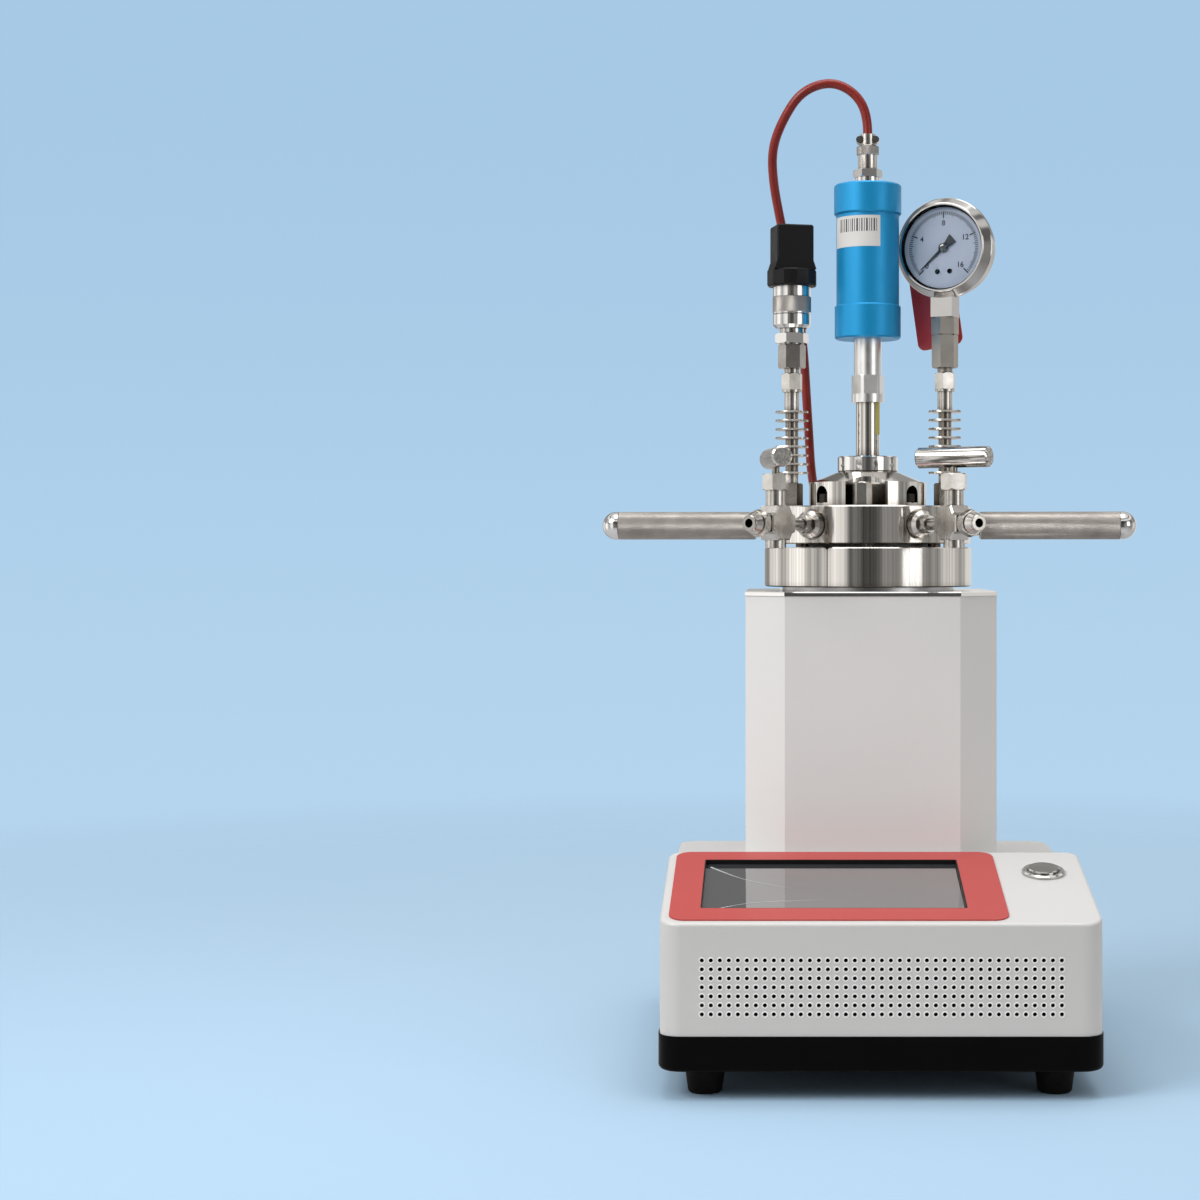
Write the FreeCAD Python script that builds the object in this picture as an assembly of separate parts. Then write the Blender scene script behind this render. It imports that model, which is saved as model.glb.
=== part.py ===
"""High pressure reactor: a stirred steel vessel clamped under a lid, on a heated tower.

Millimetres and degrees. +Z is up and the front faces -Y. The origin is on the ground
under the middle of the base, so X = 0 is also the axis of the tower and the vessel.
A bearing is an angle seen from above: 0 points to the front, +90 to the right.
Each sub-part is one function, and each solid goes to parts/NODE.step.
"""
import FreeCAD, Part
import math
import os

V = FreeCAD.Vector
UP = V(0, 0, 1)

# Base: feet, tray and sheet-metal shell
base_width = 248.0
base_depth = 296.0
axis_to_rear = 94.0
foot_height = 16.0
foot_top_dia = 23.5
foot_tip_dia = 19.5
foot_inset = 25.0
foot_stud_dia = 5.0
tray_height = 20.0
tray_proud = 0.75
tray_wall = 2.5
tray_corner = 12.7
front_height = 62.6
console_gap = 2.0
console_rise = 24.2
deck_drop = 15.7
shell_wall = 2.0
shell_corner = 12.0
ridge_corner = 8.0
edge_round = 2.0

# Air holes punched through the front of the shell
hole_pitch = 5.0
hole_dia = 2.4
hole_columns = 41
hole_rows = 7
hole_row_height = 12.3

# Touch screen behind a printed overlay, and the power button
overlay_width = 191.0
overlay_front = 4.7
overlay_back = 3.1
overlay_thickness = 0.8
overlay_corner = 9.0
overlay_x = -23.5
window_width = 151.3
window_front = 18.4
window_back = 14.3
window_corner = 1.5
window_x = -26.0
screen_margin = 6.0
screen_thickness = 7.0
button_x = 99.4
button_back = 39.4
button_bezel_dia = 25.5
button_bezel_height = 2.2
button_body_dia = 22.0
button_body_length = 24.0
button_cap_dia = 19.0
button_cap_proud = 1.4
button_travel = 2.5
button_gap = 0.2

# Mains inlet in the back wall
inlet_x = -66.0
inlet_z = 68.0
inlet_width = 27.5
inlet_height = 20.0
inlet_depth = 16.0
inlet_flange = 3.0
inlet_flange_thickness = 0.7
recess_width = 23.6
recess_height = 16.6
recess_depth = 13.0
pin_width = 2.0
pin_height = 3.4
pin_length = 10.0
pin_spacing = 7.0
pin_drop = 3.2

# Heated tower: eight-sided casing, insulation and heating jacket
tower_width = 156.0
tower_chamfer = 24.4
tower_height = 171.2
casing_wall = 1.5
trim_thickness = 2.6
trim_proud = 0.4
trim_hole_dia = 113.0
jacket_dia = 110.0
jacket_lift = 2.5
jacket_depth = 117.5
jacket_floor = 4.0
insulation_dia = 148.0
insulation_gap = 0.2
insulation_top_gap = 2.0

# Vessel and the split ring that holds it
vessel_bore = 64.0
vessel_wall = 8.0
vessel_floor = 8.0
vessel_depth = 129.0
vessel_gap = 0.5
rim_dia = 100.0
rim_height = 16.4
ring_dia = 133.0
ring_height = 25.0
ring_gap = 0.4
seam_bearing = -21.0
seam_gap = 0.6
seam_chamfer = 1.6
lid_gap = 2.2
gasket_inner_dia = 66.0
gasket_outer_dia = 92.0
closure_count = 8
closure_bearing = 1.5
closure_circle = 117.0
closure_dia = 8.0
closure_head_dia = 13.0
closure_head_height = 8.0
closure_socket = 6.0
closure_reach = 6.0
screw_gap = 0.1

# Lid, side handles and ports
head_turn = -3.4
lid_dia = 132.0
lid_thickness = 23.7
lid_chamfer = 0.7
spigot_dia = 63.0
spigot_length = 6.6
lid_bore = 16.0
spot_dia = 19.0
spot_depth = 0.6
port_dia = 10.0
port_depth = 10.0
passage_dia = 4.0
passage_radius = 24.0
handle_reach = 172.0
handle_dia = 18.0
handle_neck_dia = 13.0
handle_neck = 6.0
handle_stud_depth = 11.0
fit_gap = 0.05

# Stirrer drive: flange on the lid, tubes, blue housing
hub_dia = 75.4
hub_height = 15.7
hub_ledge = 1.6
cone_height = 6.3
cone_top_dia = 41.8
neck_dia = 38.0
neck_height = 0.7
scallop_radius = 16.0
scallop_centre = 44.0
pocket_width = 11.0
pocket_height = 13.2
pocket_floor = 2.5
pocket_radius = 27.0
hub_screw_circle = 66.0
hub_screw_flats = 8.6
hub_screw_head = 5.5
hub_screw_dia = 5.0
hub_screw_depth = 8.0
pocket_bearings = (50.0, 115.0, 180.0, 245.0, 310.0)
plug_flats = 10.6
plug_height = 15.2
plug_radius = 37.6
plug_bearing = -4.0
plug_thread_dia = 8.0
plug_thread_depth = 9.0
collar_dia = 38.8
collar_height = 9.8
collar_chamfer = 0.6
lower_tube_dia = 15.2
lower_tube_length = 34.9
lower_tube_seat = 6.0
tube_bore = 9.0
union_dia = 20.8
union_flats = 19.0
union_height = 17.6
union_band = 5.4
union_chamfer = 1.2
upper_tube_dia = 17.7
upper_tube_length = 23.3
shaft_hole_dia = 11.0
cap_low_dia = 42.6
cap_low_height = 21.7
cap_floor = 4.0
housing_dia = 40.4
housing_wall = 2.0
housing_visible = 57.9
cap_top_dia = 43.4
cap_top_height = 19.6
cap_overlap = 6.0
cap_round = 1.0

# Magnetic coupling, motor and stirrer
can_dia = 19.0
can_wall = 1.0
can_height = 31.0
can_flange_dia = 26.0
can_flange = 2.0
magnet_gap = 0.3
inner_magnet_length = 22.0
outer_magnet_dia = 31.0
outer_magnet_gap = 1.1
outer_magnet_top = 4.0
outer_magnet_lift = 1.4
motor_dia = 36.0
motor_length = 38.0
motor_gap = 2.0
motor_shaft_dia = 5.0
motor_shaft_length = 14.0
shaft_dia = 6.0
bush_length = 14.0
bush_fit = 0.05
bush_press = 0.03
impeller_dia = 33.0
impeller_hub_dia = 13.0
impeller_height = 13.0
impeller_lift = 11.0
blade_count = 4
blade_thickness = 1.6
blade_pitch = 45.0

# Cable plug on the housing, cable and gland
socket_dia = 15.8
socket_height = 4.9
socket_flats = 16.4
socket_hex = 5.0
socket_thread_dia = 9.0
plug_barrel_dia = 12.6
plug_barrel_length = 9.2
plug_sleeve_dia = 13.9
plug_sleeve_length = 6.4
clamp_dia = 10.4
clamp_length = 7.2
clamp_ear_width = 14.8
clamp_ear_height = 4.4
clamp_ear_depth = 8.6
clamp_screw_dia = 3.4
cable_dia = 6.0
gland_back = 86.5
gland_flats = 11.0
gland_height = 14.0
gland_x = -20.0
cable_start_x = 0.0
cable_route = (
    (0.0, 0.0, 12.8),
    (-8.0, 0.5, 27.5),
    (-24.0, 2.0, 35.3),
    (-43.0, 6.0, 29.3),
    (-55.0, 12.0, 11.8),
    (-62.0, 18.0, -6.2),
    (-61.0, 24.0, -27.2),
    (-56.5, 29.0, -50.2),
    (-51.0, 32.0, -76.2),
    (-45.0, 33.0, -105.2),
    (-41.0, 33.5, -135.2),
    (-39.2, 35.0, -165.2),
    (-37.4, 38.5, -192.2),
    (-36.0, 46.5, -214.2),
    (-33.0, 62.0, -230.2),
    (-29.5, 77.5, -249.2),
    (-26.5, 85.0, -273.2),
    (-24.0, 87.6, -300.2),
    (-22.4, 86.9, -327.2),
    (-20.6, 87.4, -354.2),
    (-19.9, 86.8, -381.2),
    (-20.4, 86.1, -408.2),
    (-20.0, 86.5, -430.2),
)

# Needle valves
valve_bearing = 30.0
valve_collar_dia = 17.0
valve_collar_length = 7.6
valve_hex_flats = 9.6
valve_hex_length = 7.0
valve_neck_dia = 7.4
valve_reach = 41.5
body_length = 25.0
body_thickness = 13.0
body_top = 10.85
body_foot = 10.0
body_arm = 5.0
body_column = 13.0
boss_dia = 12.6
boss_drop = 14.6
bonnet_dia = 12.2
bonnet_length = 9.4
nut_flats = 14.5
nut_height = 10.0
nut_chamfer = 1.0
stem_dia = 4.6
stem_bore = 4.8
stem_tip = 2.6
bar_dia = 12.6
bar_length = 47.0
bar_height = 39.9
bar_chamfer = 1.0
bar_turn_left = 42.9
bar_turn_right = 35.8
outlet_neck = 3.0
outlet_neck_dia = 10.6
outlet_nut_flats = 14.4
outlet_hex_length = 6.5
outlet_dia = 13.0
outlet_end_dia = 9.8
outlet_rim = 1.8
outlet_length = 7.0
outlet_bore = 5.4
outlet_bore_depth = 12.0

# Transducer and gauge columns
left_column_radius = 49.0
right_column_radius = 49.7
base_nut_flats = 12.4
base_nut_height = 15.5
base_thread_dia = 8.0
base_thread_depth = 9.0
core_dia = 8.4
fin_dia = 21.4
fin_thickness = 1.3
fin_pitch = 5.63
fin_count = 8
fin_start = 21.4
tube_dia = 9.7
tube_length = 12.2
tube_inner_dia = 4.0
coupler_flats = 12.0
coupler_height = 12.0
coupler_foot = 1.5
coupler_foot_dia = 12.6
coupler_neck_dia = 9.6
coupler_neck = 3.3
sensor_adapter_flats = 15.6
sensor_adapter_height = 15.5
sensor_hex_flats = 19.2
sensor_hex_height = 6.4
sensor_step = 0.7
sensor_neck_dia = 15.6
sensor_neck = 3.3
sensor_dia = 24.5
sensor_height = 27.0
sensor_chamfer = 2.0
sensor_groove = 0.5
sensor_grooves = (9.0, 19.9)
seal_ring_dia = 31.4
seal_ring_height = 10.7
seal_ring_sides = 12
connector_width = 24.2
connector_depth = 20.0
connector_height = 28.6
connector_flare = 1.7
connector_flare_height = 5.0
connector_corner = 1.6
connector_turn = 14.0
connector_gland_dia = 12.0
connector_gland_length = 6.0
connector_gland_height = 14.0
gauge_adapter_flats = 15.0
gauge_adapter_height = 21.3
gauge_adapter_top_flats = 15.6
gauge_adapter_top = 11.2
shank_side = 14.4
shank_length = 11.1
gauge_turn = -24.0
gauge_centre_up = 44.4
case_dia = 59.4
case_front = 4.9
case_back = 16.0
case_cavity_dia = 54.4
case_cavity = 3.3
bezel_dia = 64.8
bezel_front = 7.5
bezel_back = 3.0
bezel_edge = 2.0
bezel_face_dia = 56.4
bezel_opening = 54.6
glass_dia = 56.8
glass_thickness = 1.7
dial_dia = 54.0
dial_thickness = 1.0
pointer_length = 20.5
pointer_tail = 9.0
pointer_width = 2.2
pointer_tail_width = 7.0
pointer_thickness = 0.5
pointer_lift = 0.7
pointer_hub_dia = 6.0
pointer_hub_rise = 0.4
pointer_shaft_dia = 2.0
pointer_angle = 221.5
tag_width = 31.0
tag_length = 50.0
tag_thickness = 1.0
tag_corner = 5.0
tag_tilt = 8.4
tag_x = -8.6
tag_low = -62.0
tag_stud_dia = 3.0

# Heights that follow from the sizes above
tray_z = foot_height
shell_z = tray_z + tray_height
front_z = shell_z + front_height
ridge_z = front_z + console_rise
deck_z = ridge_z - deck_drop
casing_z = deck_z + tower_height
trim_z = casing_z + trim_thickness
ring_z = trim_z + jacket_lift
ring_top = ring_z + ring_height
lid_z = ring_top + lid_gap
lid_top = lid_z + lid_thickness
port_z = lid_z + lid_thickness / 2
hub_top = lid_top + hub_height
cone_top = hub_top + cone_height
collar_z = cone_top + neck_height
collar_top = collar_z + collar_height
union_z = collar_top + lower_tube_length
union_top = union_z + union_height
cap_low_z = union_top + upper_tube_length
cap_low_top = cap_low_z + cap_low_height
cap_top_z = cap_low_top + housing_visible
housing_top = cap_top_z + cap_top_height
plug_z = housing_top + socket_height + socket_hex
cable_z = plug_z + plug_barrel_length + plug_sleeve_length + clamp_length
front_y = -base_depth / 2
rear_y = base_depth / 2
axis_y = rear_y - axis_to_rear
ridge_y = axis_y - tower_width / 2 - console_gap
console_depth = ridge_y - front_y
slope = math.degrees(math.atan2(console_rise, console_depth))
slope_length = math.hypot(console_rise, console_depth)
overlay_length = slope_length - overlay_front - overlay_back
overlay_up = overlay_front + overlay_length / 2
window_length = overlay_length - window_front - window_back
window_up = overlay_front + window_front + window_length / 2
button_up = slope_length - button_back
vessel_dia = vessel_bore + 2 * vessel_wall
vessel_z = ring_top - vessel_depth - vessel_floor
rim_z = ring_top - rim_height
jacket_z = ring_z - jacket_depth
shaft_top = cap_low_z + cap_floor + can_height - can_wall - 2 * magnet_gap
bush_low_z = lid_z - spigot_length + 2.0
bush_top_z = cap_low_z + cap_floor + can_flange + magnet_gap


def block(x0, x1, y0, y1, z0, z1):
    """A box between two corners."""
    return Part.makeBox(x1 - x0, y1 - y0, z1 - z0, V(x0, y0, z0))


def disc(dia, z0, z1, x=0.0, y=0.0):
    """An upright cylinder."""
    return Part.makeCylinder(dia / 2, z1 - z0, V(x, y, z0), UP)


def spun(outline):
    """A solid turned about the Z axis from an outline of (radius, height) points."""
    points = [V(r, 0, z) for r, z in outline]
    return Part.Face(Part.makePolygon(points + points[:1])).revolve(V(0, 0, 0), UP, 360)


def prism(outline, z0, z1):
    """A plan outline of (x, y) points raised between two heights."""
    points = [V(x, y, z0) for x, y in outline]
    return Part.Face(Part.makePolygon(points + points[:1])).extrude(V(0, 0, z1 - z0))


def polygon(sides, flats, z0, z1, turn=0.0):
    """A regular prism that measures flats across its flats, one flat facing -Y."""
    radius = flats / 2 / math.cos(math.pi / sides)
    start = -90.0 + 180.0 / sides + turn
    angles = [math.radians(start + 360.0 * n / sides) for n in range(sides)]
    return prism([(radius * math.cos(a), radius * math.sin(a)) for a in angles], z0, z1)


def nut(flats, z0, z1, chamfer, turn=0.0):
    """A hexagon whose corners are turned off at both ends."""
    corner = flats / math.sqrt(3)
    trim = spun([(0, z0), (corner - chamfer, z0), (corner + 0.01, z0 + chamfer),
                 (corner + 0.01, z1 - chamfer), (corner - chamfer, z1), (0, z1)])
    return polygon(6, flats, z0, z1, turn).common(trim)


def rounded(width, depth, corner, z0, z1, x=0.0, y=0.0):
    """A box with its four upright edges rounded, centred on x and y."""
    box = block(x - width / 2, x + width / 2, y - depth / 2, y + depth / 2, z0, z1)
    upright = [e for e in box.Edges if abs(e.tangentAt(e.FirstParameter).z) > 0.99]
    return box.makeFillet(corner, upright)


def turned(shape, angle, axis=UP, centre=V(0, 0, 0)):
    """A copy turned about an axis."""
    copy = shape.copy()
    copy.rotate(centre, axis, angle)
    return copy


def moved(shape, x=0.0, y=0.0, z=0.0):
    """A shifted copy."""
    copy = shape.copy()
    copy.translate(V(x, y, z))
    return copy


def lying(shape, z=0.0):
    """A shape built along +Z laid down along +X at height z."""
    return moved(turned(shape, 90, V(0, 1, 0)), z=z)


def at_bearing(shape, bearing):
    """A shape that points along +X turned to a bearing seen from above."""
    return turned(shape, bearing - 90)


def on_tower(shape):
    """A shape built about the origin set on the tower's axis."""
    return moved(shape, y=axis_y)


def on_head(shape):
    """A shape built about the origin, turned with the lid, on the tower's axis."""
    return on_tower(turned(shape, head_turn))


def on_slope(shape):
    """A shape built on the XY plane laid on the sloping console, from its front edge up."""
    return moved(turned(shape, slope, V(1, 0, 0)), y=front_y, z=front_z)


def copies(shape, count, start=0.0):
    """Equal copies around the Z axis."""
    return [turned(shape, start + 360.0 * n / count) for n in range(count)]


def octagon(flats, chamfer, z0, z1):
    """A square with its four corners cut off."""
    h = flats / 2
    c = h - chamfer
    return prism([(-c, -h), (c, -h), (h, -c), (h, c), (c, h), (-c, h), (-h, c), (-h, -c)], z0, z1)


def feet():
    """Four tapered rubber feet with a stud each in the tray floor."""
    foot = spun([(0, 0), (foot_tip_dia / 2 - 1, 0), (foot_tip_dia / 2, 1),
                 (foot_top_dia / 2, foot_height), (foot_stud_dia / 2, foot_height),
                 (foot_stud_dia / 2, foot_height + tray_wall), (0, foot_height + tray_wall)])
    x = base_width / 2 - foot_inset
    y = base_depth / 2 - foot_inset
    return Part.makeCompound([moved(foot, sx * x, sy * y) for sx in (-1, 1) for sy in (-1, 1)])


def tray():
    """Open black tray: a floor and four walls round the foot of the shell."""
    width = base_width + 2 * tray_proud
    depth = base_depth + 2 * tray_proud
    body = rounded(width, depth, tray_corner, tray_z, shell_z)
    rim = [e for e in body.Edges if e.BoundBox.ZMax < tray_z + 0.01]
    body = body.makeFillet(3.0, rim)
    hollow = rounded(width - 2 * tray_wall, depth - 2 * tray_wall, tray_corner - tray_wall,
                     tray_z + tray_wall, shell_z + 1)
    body = body.cut(hollow)
    x = base_width / 2 - foot_inset
    y = base_depth / 2 - foot_inset
    holes = [disc(foot_stud_dia + 2 * screw_gap, tray_z - 1, shell_z, sx * x, sy * y)
             for sx in (-1, 1) for sy in (-1, 1)]
    return body.cut(Part.makeCompound(holes))


def shell_form(wall):
    """The solid inside a given wall: sloping console in front, lower deck behind."""
    width = base_width - 2 * wall
    deck = rounded(width, base_depth - 2 * wall, shell_corner - wall, shell_z, deck_z - wall)
    length = console_depth - 2 * wall
    middle = (front_y + ridge_y) / 2
    console = block(-width / 2, width / 2, middle - length / 2, middle + length / 2,
                    shell_z, ridge_z + 1)
    front = [e for e in console.Edges if e.BoundBox.YMax < middle and e.BoundBox.ZLength > 1
             and e.BoundBox.XLength < 0.01]
    back = [e for e in console.Edges if e.BoundBox.YMin > middle and e.BoundBox.ZLength > 1
            and e.BoundBox.XLength < 0.01]
    console = console.makeFillet(shell_corner - wall, front)
    back = [e for e in console.Edges if e.BoundBox.YMin > middle and e.BoundBox.ZLength > 1
            and e.BoundBox.XLength < 0.01]
    console = console.makeFillet(ridge_corner - wall, back)
    over = on_slope(block(-base_width, base_width, -front_height, slope_length + front_height,
                          -wall, front_height))
    ahead = block(-base_width, base_width, front_y - front_height, ridge_y - wall + 0.01,
                  shell_z - 1, ridge_z + front_height)
    return deck.fuse(console).removeSplitter().cut(over.common(ahead))


def shell():
    """White sheet-metal cover with its air holes, screen window and button hole."""
    body = shell_form(0.0)
    lean = math.cos(math.radians(slope))
    brow = [e for e in body.Edges if slope_edge(e, lean)]
    body = body.makeFillet(edge_round, brow)
    body = body.cut(shell_form(shell_wall))
    first = -(hole_columns - 1) / 2 * hole_pitch
    punch = polygon(6, hole_dia, -1, shell_wall + 1, 30)
    punch = turned(punch, -90, V(1, 0, 0))
    punches = [moved(punch, first + c * hole_pitch, front_y,
                     shell_z + hole_row_height + r * hole_pitch)
               for c in range(hole_columns) for r in range(hole_rows)]
    body = body.cut(Part.makeCompound(punches))
    window = rounded(window_width + 1, window_length + 1, window_corner, -9, 9, window_x, window_up)
    hole = disc(button_body_dia + 2 * screw_gap, -9, 9, button_x, button_up)
    body = body.cut(Part.makeCompound([on_slope(window), on_slope(hole)]))
    inlet = block(inlet_x - inlet_width / 2 - screw_gap, inlet_x + inlet_width / 2 + screw_gap,
                  rear_y - 2 * shell_wall, rear_y + 1,
                  inlet_z - inlet_height / 2 - screw_gap, inlet_z + inlet_height / 2 + screw_gap)
    gland = disc(gland_flats * 0.6, deck_z - 2 * shell_wall, deck_z + 1, gland_x, axis_y + gland_back)
    return body.cut(Part.makeCompound([inlet, gland]))


def slope_edge(edge, lean):
    """Whether an edge bounds the sloping top of the console."""
    middle = edge.valueAt((edge.FirstParameter + edge.LastParameter) / 2)
    ends = [v.Point for v in edge.Vertexes] + [middle]
    return all(abs((p.z - front_z) * lean - (p.y - front_y) * math.sin(math.radians(slope))) < 0.05
               for p in ends)


def overlay():
    """Thin red overlay with rounded corners round the screen window."""
    film = rounded(overlay_width, overlay_length, overlay_corner, 0, overlay_thickness,
                   overlay_x, overlay_up)
    window = rounded(window_width, window_length, window_corner, -1, overlay_thickness + 1,
                     window_x, window_up)
    return on_slope(film.cut(window))


def touch_screen():
    """Screen module held under the shell, with its glass at the window."""
    width = window_width + 2 * screen_margin
    length = window_length + 2 * screen_margin
    return on_slope(rounded(width, length, 3.0, -shell_wall - screen_thickness, -shell_wall,
                            window_x, window_up))


def button_bezel():
    """Metal switch body with a raised ring round the moving cap."""
    cap = button_cap_dia / 2 + button_gap
    seat = -button_body_length + 8.0
    body = spun([(0, -button_body_length), (button_body_dia / 2, -button_body_length),
                 (button_body_dia / 2, 0), (button_bezel_dia / 2, 0),
                 (button_bezel_dia / 2, button_bezel_height - 0.7),
                 (button_bezel_dia / 2 - 0.9, button_bezel_height),
                 (cap, button_bezel_height), (cap, seat), (0, seat)])
    return on_slope(moved(body, button_x, button_up))


def button_cap():
    """Flat round cap that travels into the switch body."""
    top = button_bezel_height + button_cap_proud
    low = -button_body_length + 8.0 + button_travel + 0.5
    cap = spun([(0, low), (button_cap_dia / 2, low), (button_cap_dia / 2, top - 0.6),
                (button_cap_dia / 2 - 0.6, top), (0, top)])
    return on_slope(moved(cap, button_x, button_up))


def power_inlet():
    """Mains socket in the back wall: a recess with three flat pins."""
    body = block(-inlet_width / 2, inlet_width / 2, -inlet_depth, 0, -inlet_height / 2, inlet_height / 2)
    flange = block(-inlet_width / 2 - inlet_flange, inlet_width / 2 + inlet_flange, 0,
                   inlet_flange_thickness, -inlet_height / 2 - inlet_flange,
                   inlet_height / 2 + inlet_flange)
    recess = block(-recess_width / 2, recess_width / 2, inlet_flange_thickness - recess_depth, 1,
                   -recess_height / 2, recess_height / 2)
    pin = block(-pin_width / 2, pin_width / 2, inlet_flange_thickness - recess_depth - 0.5,
                inlet_flange_thickness - recess_depth + pin_length,
                -pin_height / 2 - pin_drop, pin_height / 2 - pin_drop)
    pins = [moved(pin, x=n * pin_spacing) for n in (-1, 0, 1)]
    return moved(body.fuse(flange).cut(recess).fuse(pins).removeSplitter(), inlet_x, rear_y, inlet_z)


def tower_casing():
    """Eight-sided white casing, open at both ends."""
    outer = octagon(tower_width, tower_chamfer, deck_z, casing_z)
    inset = casing_wall * (2 - math.sqrt(2))
    inner = octagon(tower_width - 2 * casing_wall, tower_chamfer - inset, deck_z - 1, casing_z + 1)
    return on_tower(outer.cut(inner))


def trim_plate():
    """Bright eight-sided plate on the casing, with a hole for the heating jacket."""
    plate = octagon(tower_width + 2 * trim_proud, tower_chamfer, casing_z, trim_z)
    edges = [e for e in plate.Edges if e.BoundBox.ZMin > trim_z - 0.01]
    plate = plate.makeChamfer(0.5, edges)
    return on_tower(plate.cut(disc(trim_hole_dia, casing_z - 1, trim_z + 1)))


def heating_jacket():
    """Aluminium heating cup that the split ring stands on."""
    bore = vessel_dia / 2 + vessel_gap
    return on_tower(spun([(0, jacket_z), (jacket_dia / 2, jacket_z), (jacket_dia / 2, ring_z),
                          (bore, ring_z), (bore, jacket_z + jacket_floor),
                          (0, jacket_z + jacket_floor)]))


def insulation():
    """Mineral-wool cup between the jacket and the casing, standing on the deck."""
    pocket = jacket_dia / 2 + insulation_gap
    outer = insulation_dia / 2
    top = casing_z - insulation_top_gap
    return on_tower(spun([(0, deck_z), (outer, deck_z), (outer, top), (pocket, top),
                          (pocket, jacket_z), (0, jacket_z)]))


def vessel_cup():
    """Thick-walled steel cup with a rim that hangs in the split ring."""
    bore = vessel_bore / 2
    outer = vessel_dia / 2
    inside = vessel_z + vessel_floor
    return on_tower(spun([(0, vessel_z), (outer - 4, vessel_z), (outer, vessel_z + 4),
                          (outer, rim_z), (rim_dia / 2, rim_z), (rim_dia / 2, ring_top),
                          (bore, ring_top), (bore, inside + 6), (bore - 6, inside), (0, inside)]))


def closure_holes(dia, z0, z1):
    """Upright holes or shanks on the closure screws' circle."""
    one = disc(dia, z0, z1, y=-closure_circle / 2)
    return copies(one, closure_count, closure_bearing)


def split_ring(side):
    """One half of the clamping ring; the halves meet at a seam with chamfered corners."""
    outer = ring_dia / 2
    bore = vessel_dia / 2 + vessel_gap
    step = rim_dia / 2 + ring_gap
    ring = spun([(bore, ring_z), (outer - lid_chamfer, ring_z), (outer, ring_z + lid_chamfer),
                 (outer, ring_top - lid_chamfer), (outer - lid_chamfer, ring_top),
                 (step, ring_top), (step, rim_z), (bore, rim_z)])
    half = block(seam_gap / 2, ring_dia, -ring_dia, ring_dia, ring_z - 1, ring_top + 1)
    notch = prism([(0, -seam_chamfer - seam_gap / 2), (seam_chamfer + seam_gap / 2, 0),
                   (0, seam_chamfer + seam_gap / 2)], -ring_dia, ring_dia)
    notch = moved(turned(notch, 90, V(1, 0, 0)), z=ring_top)
    ring = ring.common(turned(half.cut(notch), seam_bearing + (0 if side == "right" else 180)))
    wide = closure_holes(closure_head_dia + 2 * screw_gap, ring_z - 1,
                         ring_z + closure_head_height + screw_gap)
    narrow = closure_holes(closure_dia + 2 * screw_gap, ring_z, ring_top + 1)
    return on_head(ring.cut(Part.makeCompound(wide)).cut(Part.makeCompound(narrow)))


def closure_screws():
    """Eight socket screws from under the split ring into the lid."""
    head = ring_z + closure_head_height
    screw = spun([(0, ring_z), (closure_head_dia / 2, ring_z), (closure_head_dia / 2, head),
                  (closure_dia / 2, head), (closure_dia / 2, lid_z + closure_reach),
                  (0, lid_z + closure_reach)])
    screw = screw.cut(polygon(6, closure_socket, ring_z - 1, ring_z + closure_head_height / 2))
    screw = moved(screw, y=-closure_circle / 2)
    return on_head(Part.makeCompound(copies(screw, closure_count, closure_bearing)))


def lid_gasket():
    """Flat sealing ring between the vessel's rim and the lid."""
    inner = gasket_inner_dia / 2
    outer = gasket_outer_dia / 2
    return on_head(spun([(inner, ring_top), (outer, ring_top), (outer, lid_z), (inner, lid_z)]))


def radial(dia, r0, r1, bearing):
    """A cylinder lying at the ports' height from one radius to another."""
    return at_bearing(lying(disc(dia, r0, r1), port_z), bearing)


def lid():
    """Round steel lid with ports in its wall and a centring spigot below."""
    edge = lid_dia / 2
    low = lid_z - spigot_length
    bore = lid_bore / 2
    body = spun([(bore, low), (spigot_dia / 2, low), (spigot_dia / 2, lid_z),
                 (edge - lid_chamfer, lid_z), (edge, lid_z + lid_chamfer),
                 (edge, lid_top - lid_chamfer), (edge - lid_chamfer, lid_top), (bore, lid_top)])
    cuts = closure_holes(closure_dia + 2 * screw_gap, lid_z - 1, lid_z + closure_reach + 0.3)
    for bearing in (-valve_bearing, valve_bearing, -90.0, 90.0):
        cuts.append(radial(spot_dia, edge - spot_depth, edge + 9, bearing))
    for bearing in (-valve_bearing, valve_bearing):
        cuts.append(radial(port_dia + 2 * fit_gap, edge - port_depth - 0.3, edge, bearing))
        cuts.append(radial(passage_dia, passage_radius, edge - port_depth, bearing))
        down = disc(passage_dia, low - 1, port_z, passage_radius)
        cuts.append(at_bearing(down, bearing))
    for bearing, radius in ((-90.0, left_column_radius), (90.0, right_column_radius)):
        cuts.append(radial(port_dia + 2 * fit_gap, edge - handle_stud_depth - 0.3, edge, bearing))
        socket = disc(base_thread_dia + 2 * fit_gap, lid_top - base_thread_depth - 0.3, lid_top + 1, radius)
        cuts.append(at_bearing(socket, bearing))
    plug = disc(plug_thread_dia + 2 * fit_gap, lid_top - plug_thread_depth - 0.3, lid_top + 1, plug_radius)
    cuts.append(at_bearing(plug, plug_bearing))
    screw = disc(hub_screw_dia + 2 * fit_gap, lid_top - hub_screw_depth - 0.3, lid_top + 1,
                 hub_screw_circle / 2)
    cuts += [at_bearing(screw, bearing) for bearing in pocket_bearings]
    return on_head(body.cut(Part.makeCompound(cuts)))


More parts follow.
